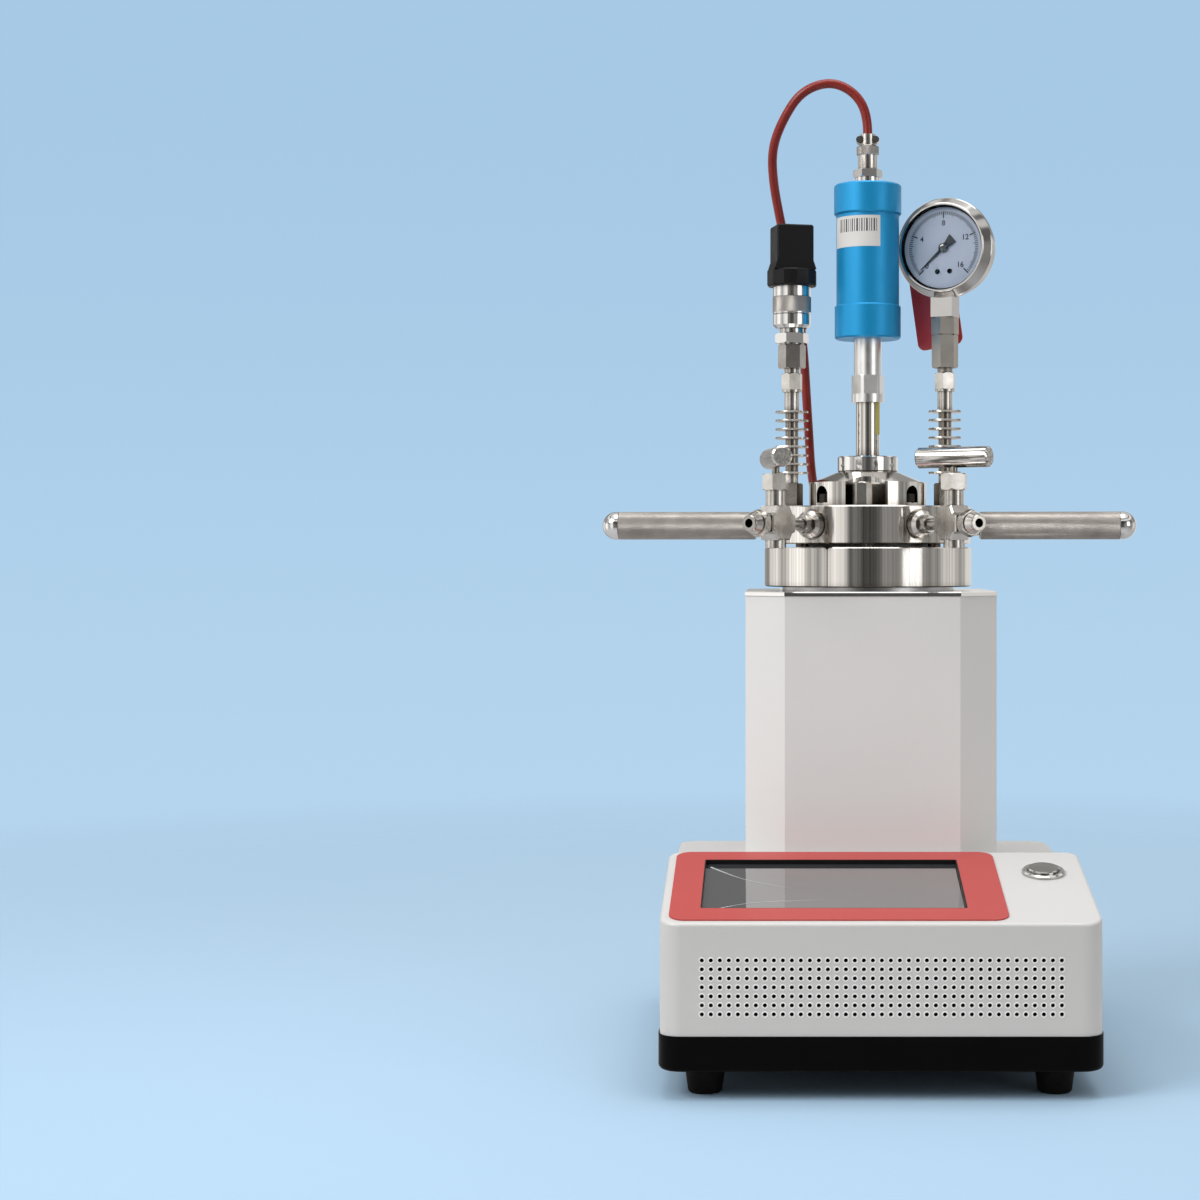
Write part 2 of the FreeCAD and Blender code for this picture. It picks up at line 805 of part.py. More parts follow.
def side_handles():
    """Two round bars with domed ends, screwed into the sides of the lid."""
    start = lid_dia / 2 - spot_depth
    neck = start + handle_neck
    end = handle_reach - handle_dia / 2
    bar = spun([(0, start - handle_stud_depth + spot_depth), (port_dia / 2, start - handle_stud_depth + spot_depth),
                (port_dia / 2, start), (handle_neck_dia / 2, start), (handle_neck_dia / 2, neck),
                (handle_dia / 2 - 1, neck), (handle_dia / 2, neck + 1), (handle_dia / 2, end), (0, end)])
    dome = Part.makeSphere(handle_dia / 2, V(0, 0, end), UP, 0, 90, 360)
    bar = lying(bar.fuse(dome).removeSplitter(), port_z)
    return on_head(Part.makeCompound([at_bearing(bar, -90.0), at_bearing(bar, 90.0)]))


def pocket():
    """Arch-topped recess cut into the side of the hub, pointing along +X."""
    half = pocket_width / 2
    low = lid_top + pocket_floor
    spring = lid_top + pocket_height - half
    slot = block(pocket_radius, hub_dia, -half, half, low, spring)
    arch = lying(disc(pocket_width, pocket_radius, hub_dia), spring)
    return slot.fuse(arch)


def drive_flange():
    """Hub bolted to the lid: a scalloped ring, a cone and the seat of the tube."""
    seat = lower_tube_dia / 2 + fit_gap
    edge = hub_dia / 2
    body = spun([(shaft_hole_dia / 2, lid_top), (edge, lid_top), (edge, hub_top),
                 (edge - hub_ledge, hub_top), (cone_top_dia / 2, cone_top), (neck_dia / 2, cone_top),
                 (neck_dia / 2, collar_z), (seat, collar_z), (seat, lid_top + lower_tube_seat),
                 (shaft_hole_dia / 2, lid_top + lower_tube_seat)])
    cuts = [at_bearing(pocket(), bearing) for bearing in pocket_bearings]
    cuts.append(disc(2 * scallop_radius, lid_top - 1, collar_z, y=-scallop_centre))
    hole = disc(hub_screw_dia + 2 * screw_gap, lid_top - 1, lid_top + pocket_floor + 1, hub_screw_circle / 2)
    cuts += [at_bearing(hole, bearing) for bearing in pocket_bearings]
    return on_head(body.cut(Part.makeCompound(cuts)))


def hub_screws():
    """Five hexagon-head screws in the hub's pockets."""
    low = lid_top + pocket_floor
    head = nut(hub_screw_flats, low, low + hub_screw_head, 0.5, 30)
    screw = head.fuse(disc(hub_screw_dia, lid_top - hub_screw_depth, low)).removeSplitter()
    screw = moved(screw, x=hub_screw_circle / 2)
    return on_head(Part.makeCompound([at_bearing(screw, bearing) for bearing in pocket_bearings]))


def port_plug():
    """Tall hexagon plug with a domed end, in the scallop at the front of the hub."""
    top = lid_top + plug_height
    body = nut(plug_flats, lid_top, top, 1.3, 90).fuse(disc(plug_thread_dia, lid_top - plug_thread_depth, lid_top))
    return on_head(at_bearing(moved(body.removeSplitter(), x=plug_radius), plug_bearing))


def collar_nut():
    """Polished round collar that holds the lower tube on the hub."""
    outer = collar_dia / 2
    bore = lower_tube_dia / 2 + fit_gap
    return on_head(spun([(bore, collar_z), (outer - collar_chamfer, collar_z),
                         (outer, collar_z + collar_chamfer), (outer, collar_top - collar_chamfer),
                         (outer - collar_chamfer, collar_top), (bore, collar_top)]))


def drive_tube_lower():
    """Tube from the hub up into the union nut."""
    low = lid_top + lower_tube_seat
    top = union_z + union_height / 2
    return on_head(disc(lower_tube_dia, low, top).cut(disc(tube_bore, low - 1, top + 1)))


def union_nut():
    """Union nut: a hexagon above a plain round band."""
    band = disc(union_dia, union_z, union_top)
    hexagon = polygon(6, union_flats, union_z + union_band, union_top, 12)
    top = spun([(0, union_z), (union_dia, union_z), (union_dia, union_top - union_chamfer - 2),
                (union_dia / 2 - union_chamfer, union_top), (0, union_top)])
    lower = disc(union_dia, union_z, union_z + union_band)
    body = band.common(hexagon).common(top).fuse(lower).removeSplitter()
    return on_head(body.cut(disc(lower_tube_dia + 2 * fit_gap, union_z - 1, union_top + 1)))


def drive_tube_upper():
    """Upper tube with the thin-walled can that seals the inner magnet."""
    joint = union_z + union_height / 2
    floor = cap_low_z + cap_floor
    can_top = floor + can_height
    inner = can_dia / 2 - can_wall
    bore = tube_bore / 2
    return on_head(spun([
        (bore, joint), (lower_tube_dia / 2, joint), (lower_tube_dia / 2, union_top),
        (upper_tube_dia / 2, union_top), (upper_tube_dia / 2, cap_low_z),
        (lower_tube_dia / 2, cap_low_z), (lower_tube_dia / 2, floor), (can_flange_dia / 2, floor),
        (can_flange_dia / 2, floor + can_flange), (can_dia / 2, floor + can_flange),
        (can_dia / 2, can_top), (0, can_top), (0, can_top - can_wall), (inner, can_top - can_wall),
        (inner, floor + can_flange), (bore, floor + can_flange)]))


def drive_lower_cap():
    """Blue lower cap of the drive housing."""
    outer = cap_low_dia / 2
    floor = cap_low_z + cap_floor
    room = housing_dia / 2 - housing_wall
    socket = housing_dia / 2 + fit_gap
    seat = cap_low_top - cap_overlap
    hole = lower_tube_dia / 2 + fit_gap
    return on_head(spun([(hole, cap_low_z), (outer - cap_round, cap_low_z), (outer, cap_low_z + cap_round),
                         (outer, cap_low_top - cap_round), (outer - cap_round, cap_low_top),
                         (socket, cap_low_top), (socket, seat), (room, seat), (room, floor), (hole, floor)]))


def drive_housing():
    """Blue tube between the two caps."""
    low = cap_low_top - cap_overlap
    top = cap_top_z + cap_overlap
    inner = housing_dia - 2 * housing_wall
    return on_head(disc(housing_dia, low, top).cut(disc(inner, low - 1, top + 1)))


def drive_top_cap():
    """Blue top cap with a hole for the cable socket."""
    outer = cap_top_dia / 2
    socket = housing_dia / 2 + fit_gap
    room = housing_dia / 2 - housing_wall
    seat = cap_top_z + cap_overlap
    roof = housing_top - cap_floor
    hole = socket_thread_dia / 2 + fit_gap
    return on_head(spun([(socket, cap_top_z), (outer - cap_round, cap_top_z), (outer, cap_top_z + cap_round),
                         (outer, housing_top - cap_round), (outer - cap_round, housing_top),
                         (hole, housing_top), (hole, roof), (room, roof), (room, seat), (socket, seat)]))


def magnet_top():
    """Height of the top of the outer magnet cup."""
    return cap_low_z + cap_floor + can_height + outer_magnet_lift + outer_magnet_top


def stir_motor():
    """Electric motor held in the housing above the magnets."""
    low = magnet_top() + motor_gap
    bore = motor_shaft_dia / 2 + bush_fit
    deep = low + motor_shaft_length + 0.5
    return on_head(spun([(bore, low), (motor_dia / 2, low), (motor_dia / 2, low + motor_length),
                         (0, low + motor_length), (0, deep), (bore, deep)]))


def outer_magnet():
    """Magnet cup on the motor's shaft, turning round the sealed can."""
    low = cap_low_z + cap_floor + can_flange + outer_magnet_lift
    top = magnet_top()
    inner = can_dia / 2 + outer_magnet_gap
    tip = top + motor_gap + motor_shaft_length
    return on_head(spun([(inner, low), (outer_magnet_dia / 2, low), (outer_magnet_dia / 2, top),
                         (motor_shaft_dia / 2, top), (motor_shaft_dia / 2, tip), (0, tip),
                         (0, top - outer_magnet_top), (inner, top - outer_magnet_top)]))


def inner_magnet():
    """Magnet rotor on the top of the stirrer shaft, inside the can."""
    top = shaft_top - 1.0
    outer = can_dia / 2 - can_wall - magnet_gap
    bore = shaft_dia / 2 + bush_press
    low = top - inner_magnet_length
    return on_head(spun([(bore, low), (outer, low), (outer, top), (bore, top)]))


def impeller_z():
    """Height of the underside of the impeller."""
    return vessel_z + vessel_floor + impeller_lift


def stir_shaft():
    """Straight shaft from the inner magnet down into the vessel."""
    return on_head(disc(shaft_dia, impeller_z() - 1, shaft_top))


def impeller():
    """Four pitched blades on a hub."""
    low = impeller_z()
    hub = disc(impeller_hub_dia, low, low + impeller_height)
    blade = block(impeller_hub_dia / 2 - 1, impeller_dia / 2, -blade_thickness / 2, blade_thickness / 2,
                  -impeller_height, impeller_height)
    blade = turned(blade, blade_pitch, V(1, 0, 0))
    band = block(0, impeller_dia, -impeller_dia, impeller_dia, -impeller_height / 2, impeller_height / 2)
    blade = moved(blade.common(band), z=low + impeller_height / 2)
    body = hub.fuse(copies(blade, blade_count)).removeSplitter()
    return on_head(body.cut(disc(shaft_dia + 2 * bush_press, low - 1, low + impeller_height + 1)))


def shaft_bushes():
    """Two plain bearing bushes, in the lid and at the foot of the can."""
    running = shaft_dia / 2 + bush_fit
    in_lid = lid_bore / 2 - bush_press
    in_tube = tube_bore / 2 - bush_press
    top = shaft_top - 1.0 - inner_magnet_length - magnet_gap
    lower = spun([(running, bush_low_z), (in_lid, bush_low_z), (in_lid, bush_low_z + bush_length),
                  (running, bush_low_z + bush_length)])
    upper = spun([(running, top - bush_length), (in_tube, top - bush_length), (in_tube, top), (running, top)])
    return on_head(Part.makeCompound([lower, upper]))


def cable_socket():
    """Round socket with a hexagon nut on the top cap."""
    ring = disc(socket_dia, housing_top, housing_top + socket_height)
    thread = disc(socket_thread_dia, housing_top - cap_floor - 3, housing_top)
    hexagon = nut(socket_flats, housing_top + socket_height, plug_z, 0.6, 8)
    return on_head(ring.fuse([thread, hexagon]).removeSplitter())


def cable_plug():
    """Metal plug: barrel, knurled sleeve and a clamp with two screw ears."""
    sleeve_z = plug_z + plug_barrel_length
    clamp_z = sleeve_z + plug_sleeve_length
    body = spun([(0, plug_z), (plug_barrel_dia / 2, plug_z), (plug_barrel_dia / 2, sleeve_z),
                 (plug_sleeve_dia / 2, sleeve_z + 0.4), (plug_sleeve_dia / 2, clamp_z - 1),
                 (plug_sleeve_dia / 2 - 1, clamp_z), (clamp_dia / 2, clamp_z), (clamp_dia / 2, cable_z),
                 (0, cable_z)])
    middle = clamp_z + clamp_length / 2
    ears = block(-clamp_ear_width / 2, clamp_ear_width / 2, -clamp_ear_depth / 2, clamp_ear_depth / 2,
                 middle - clamp_ear_height / 2, middle + clamp_ear_height / 2)
    along = [e for e in ears.Edges if e.BoundBox.YLength > 1]
    ears = ears.makeFillet(clamp_ear_height / 2 - 0.1, along)
    screw = Part.makeCylinder(clamp_screw_dia / 2, clamp_ear_depth + 1.2,
                              V(clamp_ear_width / 2 - clamp_screw_dia / 2 - 0.6, -clamp_ear_depth / 2 - 0.6, middle),
                              V(0, 1, 0))
    screws = [screw, turned(screw, 180)]
    return on_head(body.fuse([ears] + screws).removeSplitter())


def cable_gland():
    """Small gland on the deck behind the tower, where the cable goes in."""
    body = nut(gland_flats, deck_z, deck_z + gland_height * 0.5, 0.6)
    dome = spun([(0, deck_z), (gland_flats / 2 - 0.4, deck_z), (gland_flats / 2 - 0.4, deck_z + gland_height - 3),
                 (cable_dia / 2 + 0.8, deck_z + gland_height), (0, deck_z + gland_height)])
    thread = disc(gland_flats * 0.55, deck_z - shell_wall - 4, deck_z)
    gland = body.fuse([dome, thread]).removeSplitter()
    return moved(gland, gland_x, axis_y + gland_back)


def route():
    """The cable's points, from the plug to the top of the gland."""
    points = [V(cable_start_x, axis_y, cable_z)]
    points += [V(x, axis_y + y, cable_z + z) for x, y, z in cable_route]
    points.append(V(gland_x, axis_y + gland_back, deck_z + gland_height))
    return points


def drive_cable():
    """Round cable: straight runs joined by arcs as large as the runs allow."""
    points = route()
    edges = []
    here = points[0]
    total = 0.0
    radii = []
    for before, corner, after in zip(points, points[1:], points[2:]):
        back = (before - corner).normalize()
        ahead = (after - corner).normalize()
        bend = math.pi - back.getAngle(ahead)
        shorter = min((before - corner).Length, (after - corner).Length)
        radius = 0.45 * shorter / math.tan(bend / 2)
        radii.append(round(radius, 1))
        start = corner + back * (0.45 * shorter)
        end = corner + ahead * (0.45 * shorter)
        inward = (back + ahead).normalize()
        middle = corner + inward * (radius / math.cos(bend / 2) - radius)
        edges.append(Part.LineSegment(here, start).toShape())
        edges.append(Part.Arc(start, middle, end).toShape())
        total += (start - here).Length + radius * bend
        here = end
    edges.append(Part.LineSegment(here, points[-1]).toShape())
    total += (points[-1] - here).Length
    path = Part.Wire(edges)
    normal = (points[1] - points[0]).normalize()
    section = Part.Wire(Part.makeCircle(cable_dia / 2, points[0], normal))
    tube = path.makePipeShell([section], True, False)
    expected = math.pi * cable_dia ** 2 / 4 * total
    print("cable length", round(total, 1), "smallest radius", min(radii), "radii", radii)
    print("cable volume over section times length", round(tube.Volume / expected, 4))
    return tube


def valve_inlet():
    """Fitting screwed into the lid: thread, round collar and hexagon, along +X."""
    edge = lid_dia / 2
    face = edge - spot_depth
    collar = face + valve_collar_length
    hexagon = collar + valve_hex_length
    end = edge + valve_reach - body_length / 2
    body = spun([(0, edge - port_depth), (port_dia / 2, edge - port_depth), (port_dia / 2, face),
                 (valve_collar_dia / 2 - 0.8, face), (valve_collar_dia / 2, face + 0.8),
                 (valve_collar_dia / 2, collar - 2), (valve_collar_dia / 2 - 2, collar), (0, collar)])
    neck = disc(valve_neck_dia, collar, end)
    body = body.fuse([nut(valve_hex_flats, collar, hexagon, 0.6), neck]).removeSplitter()
    return lying(body.cut(disc(passage_dia, edge - port_depth - 1, end + 1)), port_z)


def valve_body():
    """Forged cross-shaped body with its round foot and bonnet, along +X."""
    h = body_column / 2
    a = body_length / 2
    outline = [(-h, body_top), (h, body_top), (h + 2.5, body_arm + 1.5), (a, body_arm), (a, -body_arm),
               (h + 2.5, -body_arm - 1.2), (h, -body_foot), (-h, -body_foot), (-h - 2.5, -body_arm - 1.2),
               (-a, -body_arm), (-a, body_arm), (-h - 2.5, body_arm + 1.5)]
    forging = turned(prism(outline, -body_thickness / 2, body_thickness / 2), 90, V(1, 0, 0))
    sides = [e for e in forging.Edges if e.BoundBox.YLength < 0.01]
    forging = forging.makeChamfer(0.8, sides)
    boss = disc(boss_dia, -boss_drop, -body_foot + 1)
    bonnet = disc(bonnet_dia, body_top - 1, body_top + bonnet_length)
    body = forging.fuse([boss, bonnet]).removeSplitter()
    chamber = disc(stem_bore, -stem_tip - 0.4, body_top + bonnet_length + 1)
    flow = lying(disc(passage_dia, -body_length, body_length))
    body = body.cut(Part.makeCompound([chamber, flow]))
    return moved(body, x=lid_dia / 2 + valve_reach, z=port_z)


def packing_nut():
    """Hexagon nut on top of the bonnet."""
    low = port_z + body_top + bonnet_length
    body = nut(nut_flats, low, low + nut_height, nut_chamfer, 20)
    body = body.cut(disc(stem_bore, low - 1, low + nut_height + 1))
    return moved(body, x=lid_dia / 2 + valve_reach)


def valve_stem():
    """Needle stem that closes the flow passage at its lower end."""
    r = stem_dia / 2
    top = bar_height + 1.6
    stem = spun([(0, -stem_tip), (r - 1.2, -stem_tip), (r, -stem_tip + 1.2), (r, top), (0, top)])
    return moved(stem, x=lid_dia / 2 + valve_reach, z=port_z)


def valve_bar(turn):
    """Round cross bar on the stem, turned by hand."""
    r = bar_dia / 2
    half = bar_length / 2
    bar = spun([(0, -half), (r - bar_chamfer, -half), (r, -half + bar_chamfer), (r, half - bar_chamfer),
                (r - bar_chamfer, half), (0, half)])
    bar = turned(lying(bar, bar_height), turn)
    bar = bar.cut(disc(stem_dia + 2 * fit_gap, 0, bar_height + 1.9))
    return moved(bar, x=lid_dia / 2 + valve_reach, z=port_z)


def valve_outlet():
    """Outlet fitting: hexagon and open tube end, along +X."""
    start = lid_dia / 2 + valve_reach + body_length / 2
    hexagon = start + outlet_neck
    tube = hexagon + outlet_hex_length
    end = tube + outlet_length
    r = outlet_end_dia / 2
    nose = spun([(0, tube), (outlet_dia / 2, tube), (outlet_dia / 2, tube + 1), (r, end - outlet_rim),
                 (r, end - 0.5), (r - 0.5, end), (0, end)])
    body = disc(outlet_neck_dia, start, tube).fuse([nut(outlet_nut_flats, hexagon, tube, 1.2), nose])
    body = body.removeSplitter().cut(disc(outlet_bore, end - outlet_bore_depth, end + 1))
    return lying(body.cut(disc(passage_dia, start - 1, end)), port_z)


def both_valves(shape):
    """The same piece on the left and on the right valve."""
    return on_head(Part.makeCompound([at_bearing(shape, -valve_bearing), at_bearing(shape, valve_bearing)]))


def on_column(shape, side):
    """A shape built about the origin set on the left (-1) or right (+1) column."""
    return on_head(moved(shape, x=right_column_radius if side > 0 else -left_column_radius))


def fin_top():
    """Height of the top of the highest fin."""
    return lid_top + fin_start + (fin_count - 1) * fin_pitch + fin_thickness


def coupler_z():
    """Height of the foot of the coupling nuts."""
    return fin_top() + tube_length


def cooling_tubes():
    """Finned cooling tubes, each with a hexagon base screwed into the lid."""
    outline = [(tube_inner_dia / 2, lid_top - base_thread_depth), (base_thread_dia / 2, lid_top - base_thread_depth),
               (base_thread_dia / 2, lid_top + 1), (core_dia / 2, lid_top + 1)]
    for n in range(fin_count):
        low = lid_top + fin_start + n * fin_pitch
        high = low + fin_thickness
        outline += [(core_dia / 2, low), (fin_dia / 2 - 0.3, low), (fin_dia / 2, low + fin_thickness / 2),
                    (fin_dia / 2 - 0.3, high), (core_dia / 2, high)]
    outline += [(core_dia / 2, fin_top() + 0.6), (tube_dia / 2, fin_top() + 0.6), (tube_dia / 2, coupler_z()),
                (tube_inner_dia / 2, coupler_z())]
    base = nut(base_nut_flats, lid_top, lid_top + base_nut_height, 0.8)
    base = base.cut(disc(core_dia, lid_top - 1, lid_top + base_nut_height + 1))
    tube = spun(outline).fuse(base).removeSplitter()
    return Part.makeCompound([on_column(tube, -1), on_column(tube, 1)])


def coupling_nuts():
    """Hexagon coupling nuts on top of the cooling tubes."""
    low = coupler_z()
    foot = disc(coupler_foot_dia, low, low + coupler_foot)
    body = nut(coupler_flats, low + coupler_foot, low + coupler_height, 0.7, 20).fuse(foot).removeSplitter()
    body = body.cut(disc(tube_inner_dia, low - 1, low + coupler_height + 1))
    return Part.makeCompound([on_column(body, -1), on_column(body, 1)])


def adapter_z():
    """Height of the underside of the adapters."""
    return coupler_z() + coupler_height


def sensor_adapter():
    """Long hexagon under the pressure transducer."""
    low = adapter_z() + coupler_neck
    body = disc(coupler_neck_dia, adapter_z(), low)
    body = body.fuse(nut(sensor_adapter_flats, low, low + sensor_adapter_height, 0.9, 8)).removeSplitter()
    return on_column(body.cut(disc(tube_inner_dia, adapter_z() - 1, low + 8)), -1)


def sensor_z():
    """Height of the transducer's lowest face."""
    return adapter_z() + coupler_neck + sensor_adapter_height


def transducer():
    """Steel transducer body with its own hexagon below."""
    low = sensor_z()
    hexagon = low + sensor_step
    neck = hexagon + sensor_hex_height
    body_z = neck + sensor_neck
    top = body_z + sensor_height
    r = sensor_dia / 2
    outline = [(0, neck), (sensor_neck_dia / 2, neck), (sensor_neck_dia / 2, body_z),
               (r - sensor_chamfer, body_z), (r, body_z + sensor_chamfer)]
    for up in sensor_grooves:
        z = body_z + up
        outline += [(r, z - sensor_groove), (r - sensor_groove, z), (r, z + sensor_groove)]
    outline += [(r, top), (r - 4, top), (r - 4, top + seal_ring_height), (0, top + seal_ring_height)]
    foot = disc(sensor_neck_dia, low, hexagon)
    return on_column(spun(outline).fuse([foot, nut(sensor_hex_flats, hexagon, neck, 0.9, 14)]).removeSplitter(), -1)


def seal_z():
    """Height of the underside of the black ring."""
    return sensor_z() + sensor_step + sensor_hex_height + sensor_neck + sensor_height


def seal_ring():
    """Black many-sided ring between the transducer and its connector."""
    low = seal_z()
    body = polygon(seal_ring_sides, seal_ring_dia, low, low + seal_ring_height)
    rims = [e for e in body.Edges if e.BoundBox.ZLength < 0.01]
    body = body.makeChamfer(0.9, rims)
    return on_column(body.cut(disc(sensor_dia - 8 + 2 * fit_gap, low - 1, low + seal_ring_height + 1)), -1)


def connector():
    """Square black connector, wider at its foot, with a blanked gland at the back."""
    low = seal_z() + seal_ring_height
    w = connector_width / 2
    outline = [(-w - connector_flare, 0), (w + connector_flare, 0), (w, connector_flare_height),
               (w, connector_height), (-w, connector_height), (-w, connector_flare_height)]
    body = turned(prism(outline, -connector_depth / 2, connector_depth / 2), 90, V(1, 0, 0))
    long_edges = [e for e in body.Edges if e.BoundBox.YLength > 1 and e.BoundBox.ZMin > connector_height - 0.1]
    body = body.makeFillet(connector_corner, long_edges)
    upright = [e for e in body.Edges if e.BoundBox.ZLength > 10]
    body = body.makeChamfer(0.8, upright)
    gland = Part.makeCylinder(connector_gland_dia / 2, connector_gland_length + 1,
                              V(0, connector_depth / 2 - 1, connector_gland_height), V(0, 1, 0))
    body = body.fuse(gland).removeSplitter()
    return on_column(moved(turned(body, connector_turn - head_turn), z=low), -1)


def gauge_adapter():
    """Long stepped hexagon under the pressure gauge."""
    low = adapter_z() + coupler_neck
    step = low + gauge_adapter_height
    top = step + gauge_adapter_top
    lower = nut(gauge_adapter_flats, low, step, 0.9, 10)
    upper = nut(gauge_adapter_top_flats, step, top, 0.5, 10)
    body = disc(coupler_neck_dia, adapter_z(), low).fuse([lower, upper]).removeSplitter()
    return on_column(body.cut(disc(tube_inner_dia, adapter_z() - 1, low + 8)), 1)


def shank_z():
    """Height of the underside of the gauge's shank."""
    return adapter_z() + coupler_neck + gauge_adapter_height + gauge_adapter_top


def gauge_centre_z():
    """Height of the middle of the dial."""
    return shank_z() + gauge_centre_up


def facing(shape):
    """A shape built along +Z laid so that +Z points to the front, on the gauge's centre."""
    return moved(turned(shape, 90, V(1, 0, 0)), z=gauge_centre_z())


def on_gauge(shape):
    """A gauge piece turned to the gauge's own bearing on the right column."""
    return on_column(turned(shape, gauge_turn - head_turn), 1)


def gauge_case():
    """Round case with its square shank and the stud that carries the tag."""
    r = case_dia / 2
    cavity = case_cavity_dia / 2
    floor = case_front - case_cavity
    shaft = pointer_shaft_dia / 2 + fit_gap
    body = facing(spun([(0, -case_back), (r - 3, -case_back), (r, -case_back + 3), (r, case_front),
                        (cavity, case_front), (cavity, floor), (shaft, floor), (shaft, floor - 4),
                        (0, floor - 4)]))
    half = shank_side / 2
    reach = gauge_centre_z() - math.sqrt((case_dia / 2 - 3) ** 2 - half ** 2) + 1
    clear = facing(disc(bezel_dia + 2 * fit_gap, -bezel_back - fit_gap, bezel_dia))
    shank = block(-half, half, -half, half, shank_z(), reach).cut(clear)
    spot = tag_hole()
    stud = Part.makeCylinder(tag_stud_dia / 2, 2 + tag_thickness + 0.8, V(spot[0], case_back - 2, spot[1]),
                             V(0, 1, 0))
    return on_gauge(body.fuse([shank, stud]).removeSplitter())


def gauge_bezel():
    """Bright ring that holds the glass on the case."""
    r = bezel_dia / 2
    face = bezel_face_dia / 2
    lip = bezel_opening / 2
    glass = glass_dia / 2 + fit_gap
    grip = case_dia / 2 + fit_gap
    seat = case_front + glass_thickness
    return on_gauge(facing(spun([
        (grip, -bezel_back), (r - 0.6, -bezel_back), (r, 0.6 - bezel_back), (r, bezel_edge - 0.6),
        (r - 0.5, bezel_edge), (face + 0.5, bezel_front - 0.4), (face, bezel_front), (lip, bezel_front),
        (lip, seat), (glass, seat), (glass, case_front), (grip, case_front)])))


def gauge_glass():
    """Flat round window."""
    return on_gauge(facing(disc(glass_dia, case_front, case_front + glass_thickness)))


def gauge_dial():
    """Printed dial plate with a hole for the pointer's shaft."""
    low = case_front - case_cavity
    plate = disc(dial_dia, low, low + dial_thickness)
    return on_gauge(facing(plate.cut(disc(pointer_shaft_dia + 2 * fit_gap, low - 1, low + dial_thickness + 1))))


def gauge_pointer():
    """Tapered pointer with a wide tail and a round hub, on its own shaft."""
    floor = case_front - case_cavity
    low = floor + dial_thickness + pointer_lift
    needle = prism([(pointer_length, -0.25), (pointer_length, 0.25), (0, pointer_width / 2),
                    (-pointer_tail, pointer_tail_width / 2), (-pointer_tail, -pointer_tail_width / 2),
                    (0, -pointer_width / 2)], low, low + pointer_thickness)
    needle = turned(needle, pointer_angle)
    hub = disc(pointer_hub_dia, low - 0.3, low + pointer_thickness + pointer_hub_rise)
    shaft = disc(pointer_shaft_dia, floor - 3.9, low)
    return on_gauge(facing(needle.fuse([hub, shaft]).removeSplitter()))


def tag_hole():
    """Where the tag's hole is, across and up, at the gauge's back."""
    lean = math.radians(tag_tilt)
    up = tag_length - 6.0
    return tag_x - up * math.sin(lean), gauge_centre_z() + tag_low + up * math.cos(lean)


def red_tag():
    """Red enamelled tag with rounded corners, hung on the back of the gauge's case."""
    back = case_back + 0.2
    plate = rounded(tag_width, tag_length, tag_corner, 0, tag_thickness, 0, tag_length / 2)
    plate = plate.cut(disc(tag_stud_dia + 2 * fit_gap, -1, tag_thickness + 1, 0, tag_length - 6.0))
    plate = turned(plate, 90, V(1, 0, 0))
    plate = turned(plate, -tag_tilt, V(0, 1, 0))
    return on_gauge(moved(plate, tag_x, back + tag_thickness, gauge_centre_z() + tag_low))


def pieces():
    """Every node's name with its shape."""
    found = {
        "rubber_feet": feet(), "base_tray": tray(), "base_shell": shell(),
        "screen_overlay": overlay(), "touch_screen": touch_screen(),
        "power_button_bezel": button_bezel(), "power_button_cap": button_cap(),
        "power_inlet": power_inlet(), "tower_casing": tower_casing(), "trim_plate": trim_plate(),
        "heating_jacket": heating_jacket(), "insulation": insulation(), "vessel_cup": vessel_cup(),
        "split_ring_left": split_ring("left"), "split_ring_right": split_ring("right"),
        "closure_screws": closure_screws(), "lid_gasket": lid_gasket(), "lid": lid(),
        "side_handles": side_handles(), "drive_flange": drive_flange(), "hub_screws": hub_screws(),
        "port_plug": port_plug(), "collar_nut": collar_nut(), "drive_tube_lower": drive_tube_lower(),
        "union_nut": union_nut(), "drive_tube_upper": drive_tube_upper(),
        "drive_lower_cap": drive_lower_cap(), "drive_housing": drive_housing(),
        "drive_top_cap": drive_top_cap(), "stir_motor": stir_motor(), "outer_magnet": outer_magnet(),
        "inner_magnet": inner_magnet(), "stir_shaft": stir_shaft(), "impeller": impeller(),
        "shaft_bushes": shaft_bushes(), "cable_socket": cable_socket(), "cable_plug": cable_plug(),
        "drive_cable": drive_cable(), "cable_gland": cable_gland(),
        "valve_inlets": both_valves(valve_inlet()), "packing_nuts": both_valves(packing_nut()),
        "valve_outlets": both_valves(valve_outlet()), "cooling_tubes": cooling_tubes(),
        "coupling_nuts": coupling_nuts(), "sensor_adapter": sensor_adapter(),
        "transducer": transducer(), "seal_ring": seal_ring(), "transducer_connector": connector(),
        "gauge_adapter": gauge_adapter(), "gauge_case": gauge_case(), "gauge_bezel": gauge_bezel(),
        "gauge_glass": gauge_glass(), "gauge_dial": gauge_dial(), "gauge_pointer": gauge_pointer(),
        "red_tag": red_tag(),
    }
    found["valve_bodies"] = both_valves(valve_body())
    for name, sign, turn in (("left", -1, bar_turn_left), ("right", 1, bar_turn_right)):
        bearing = sign * valve_bearing
        found["valve_stem_" + name] = on_head(at_bearing(valve_stem(), bearing))
        found["valve_bar_" + name] = on_head(at_bearing(valve_bar(turn), bearing))
    return found


def main():
    """Build every node, print what was made and write the files."""
    os.makedirs("parts", exist_ok=True)
    for name, shape in pieces().items():
        if not shape.isValid():
            print("not valid:", name)
        shape.exportStep("parts/" + name + ".step")
        print(name, len(shape.Solids), "solids", round(shape.Volume / 1000, 2), "cm3")


main()
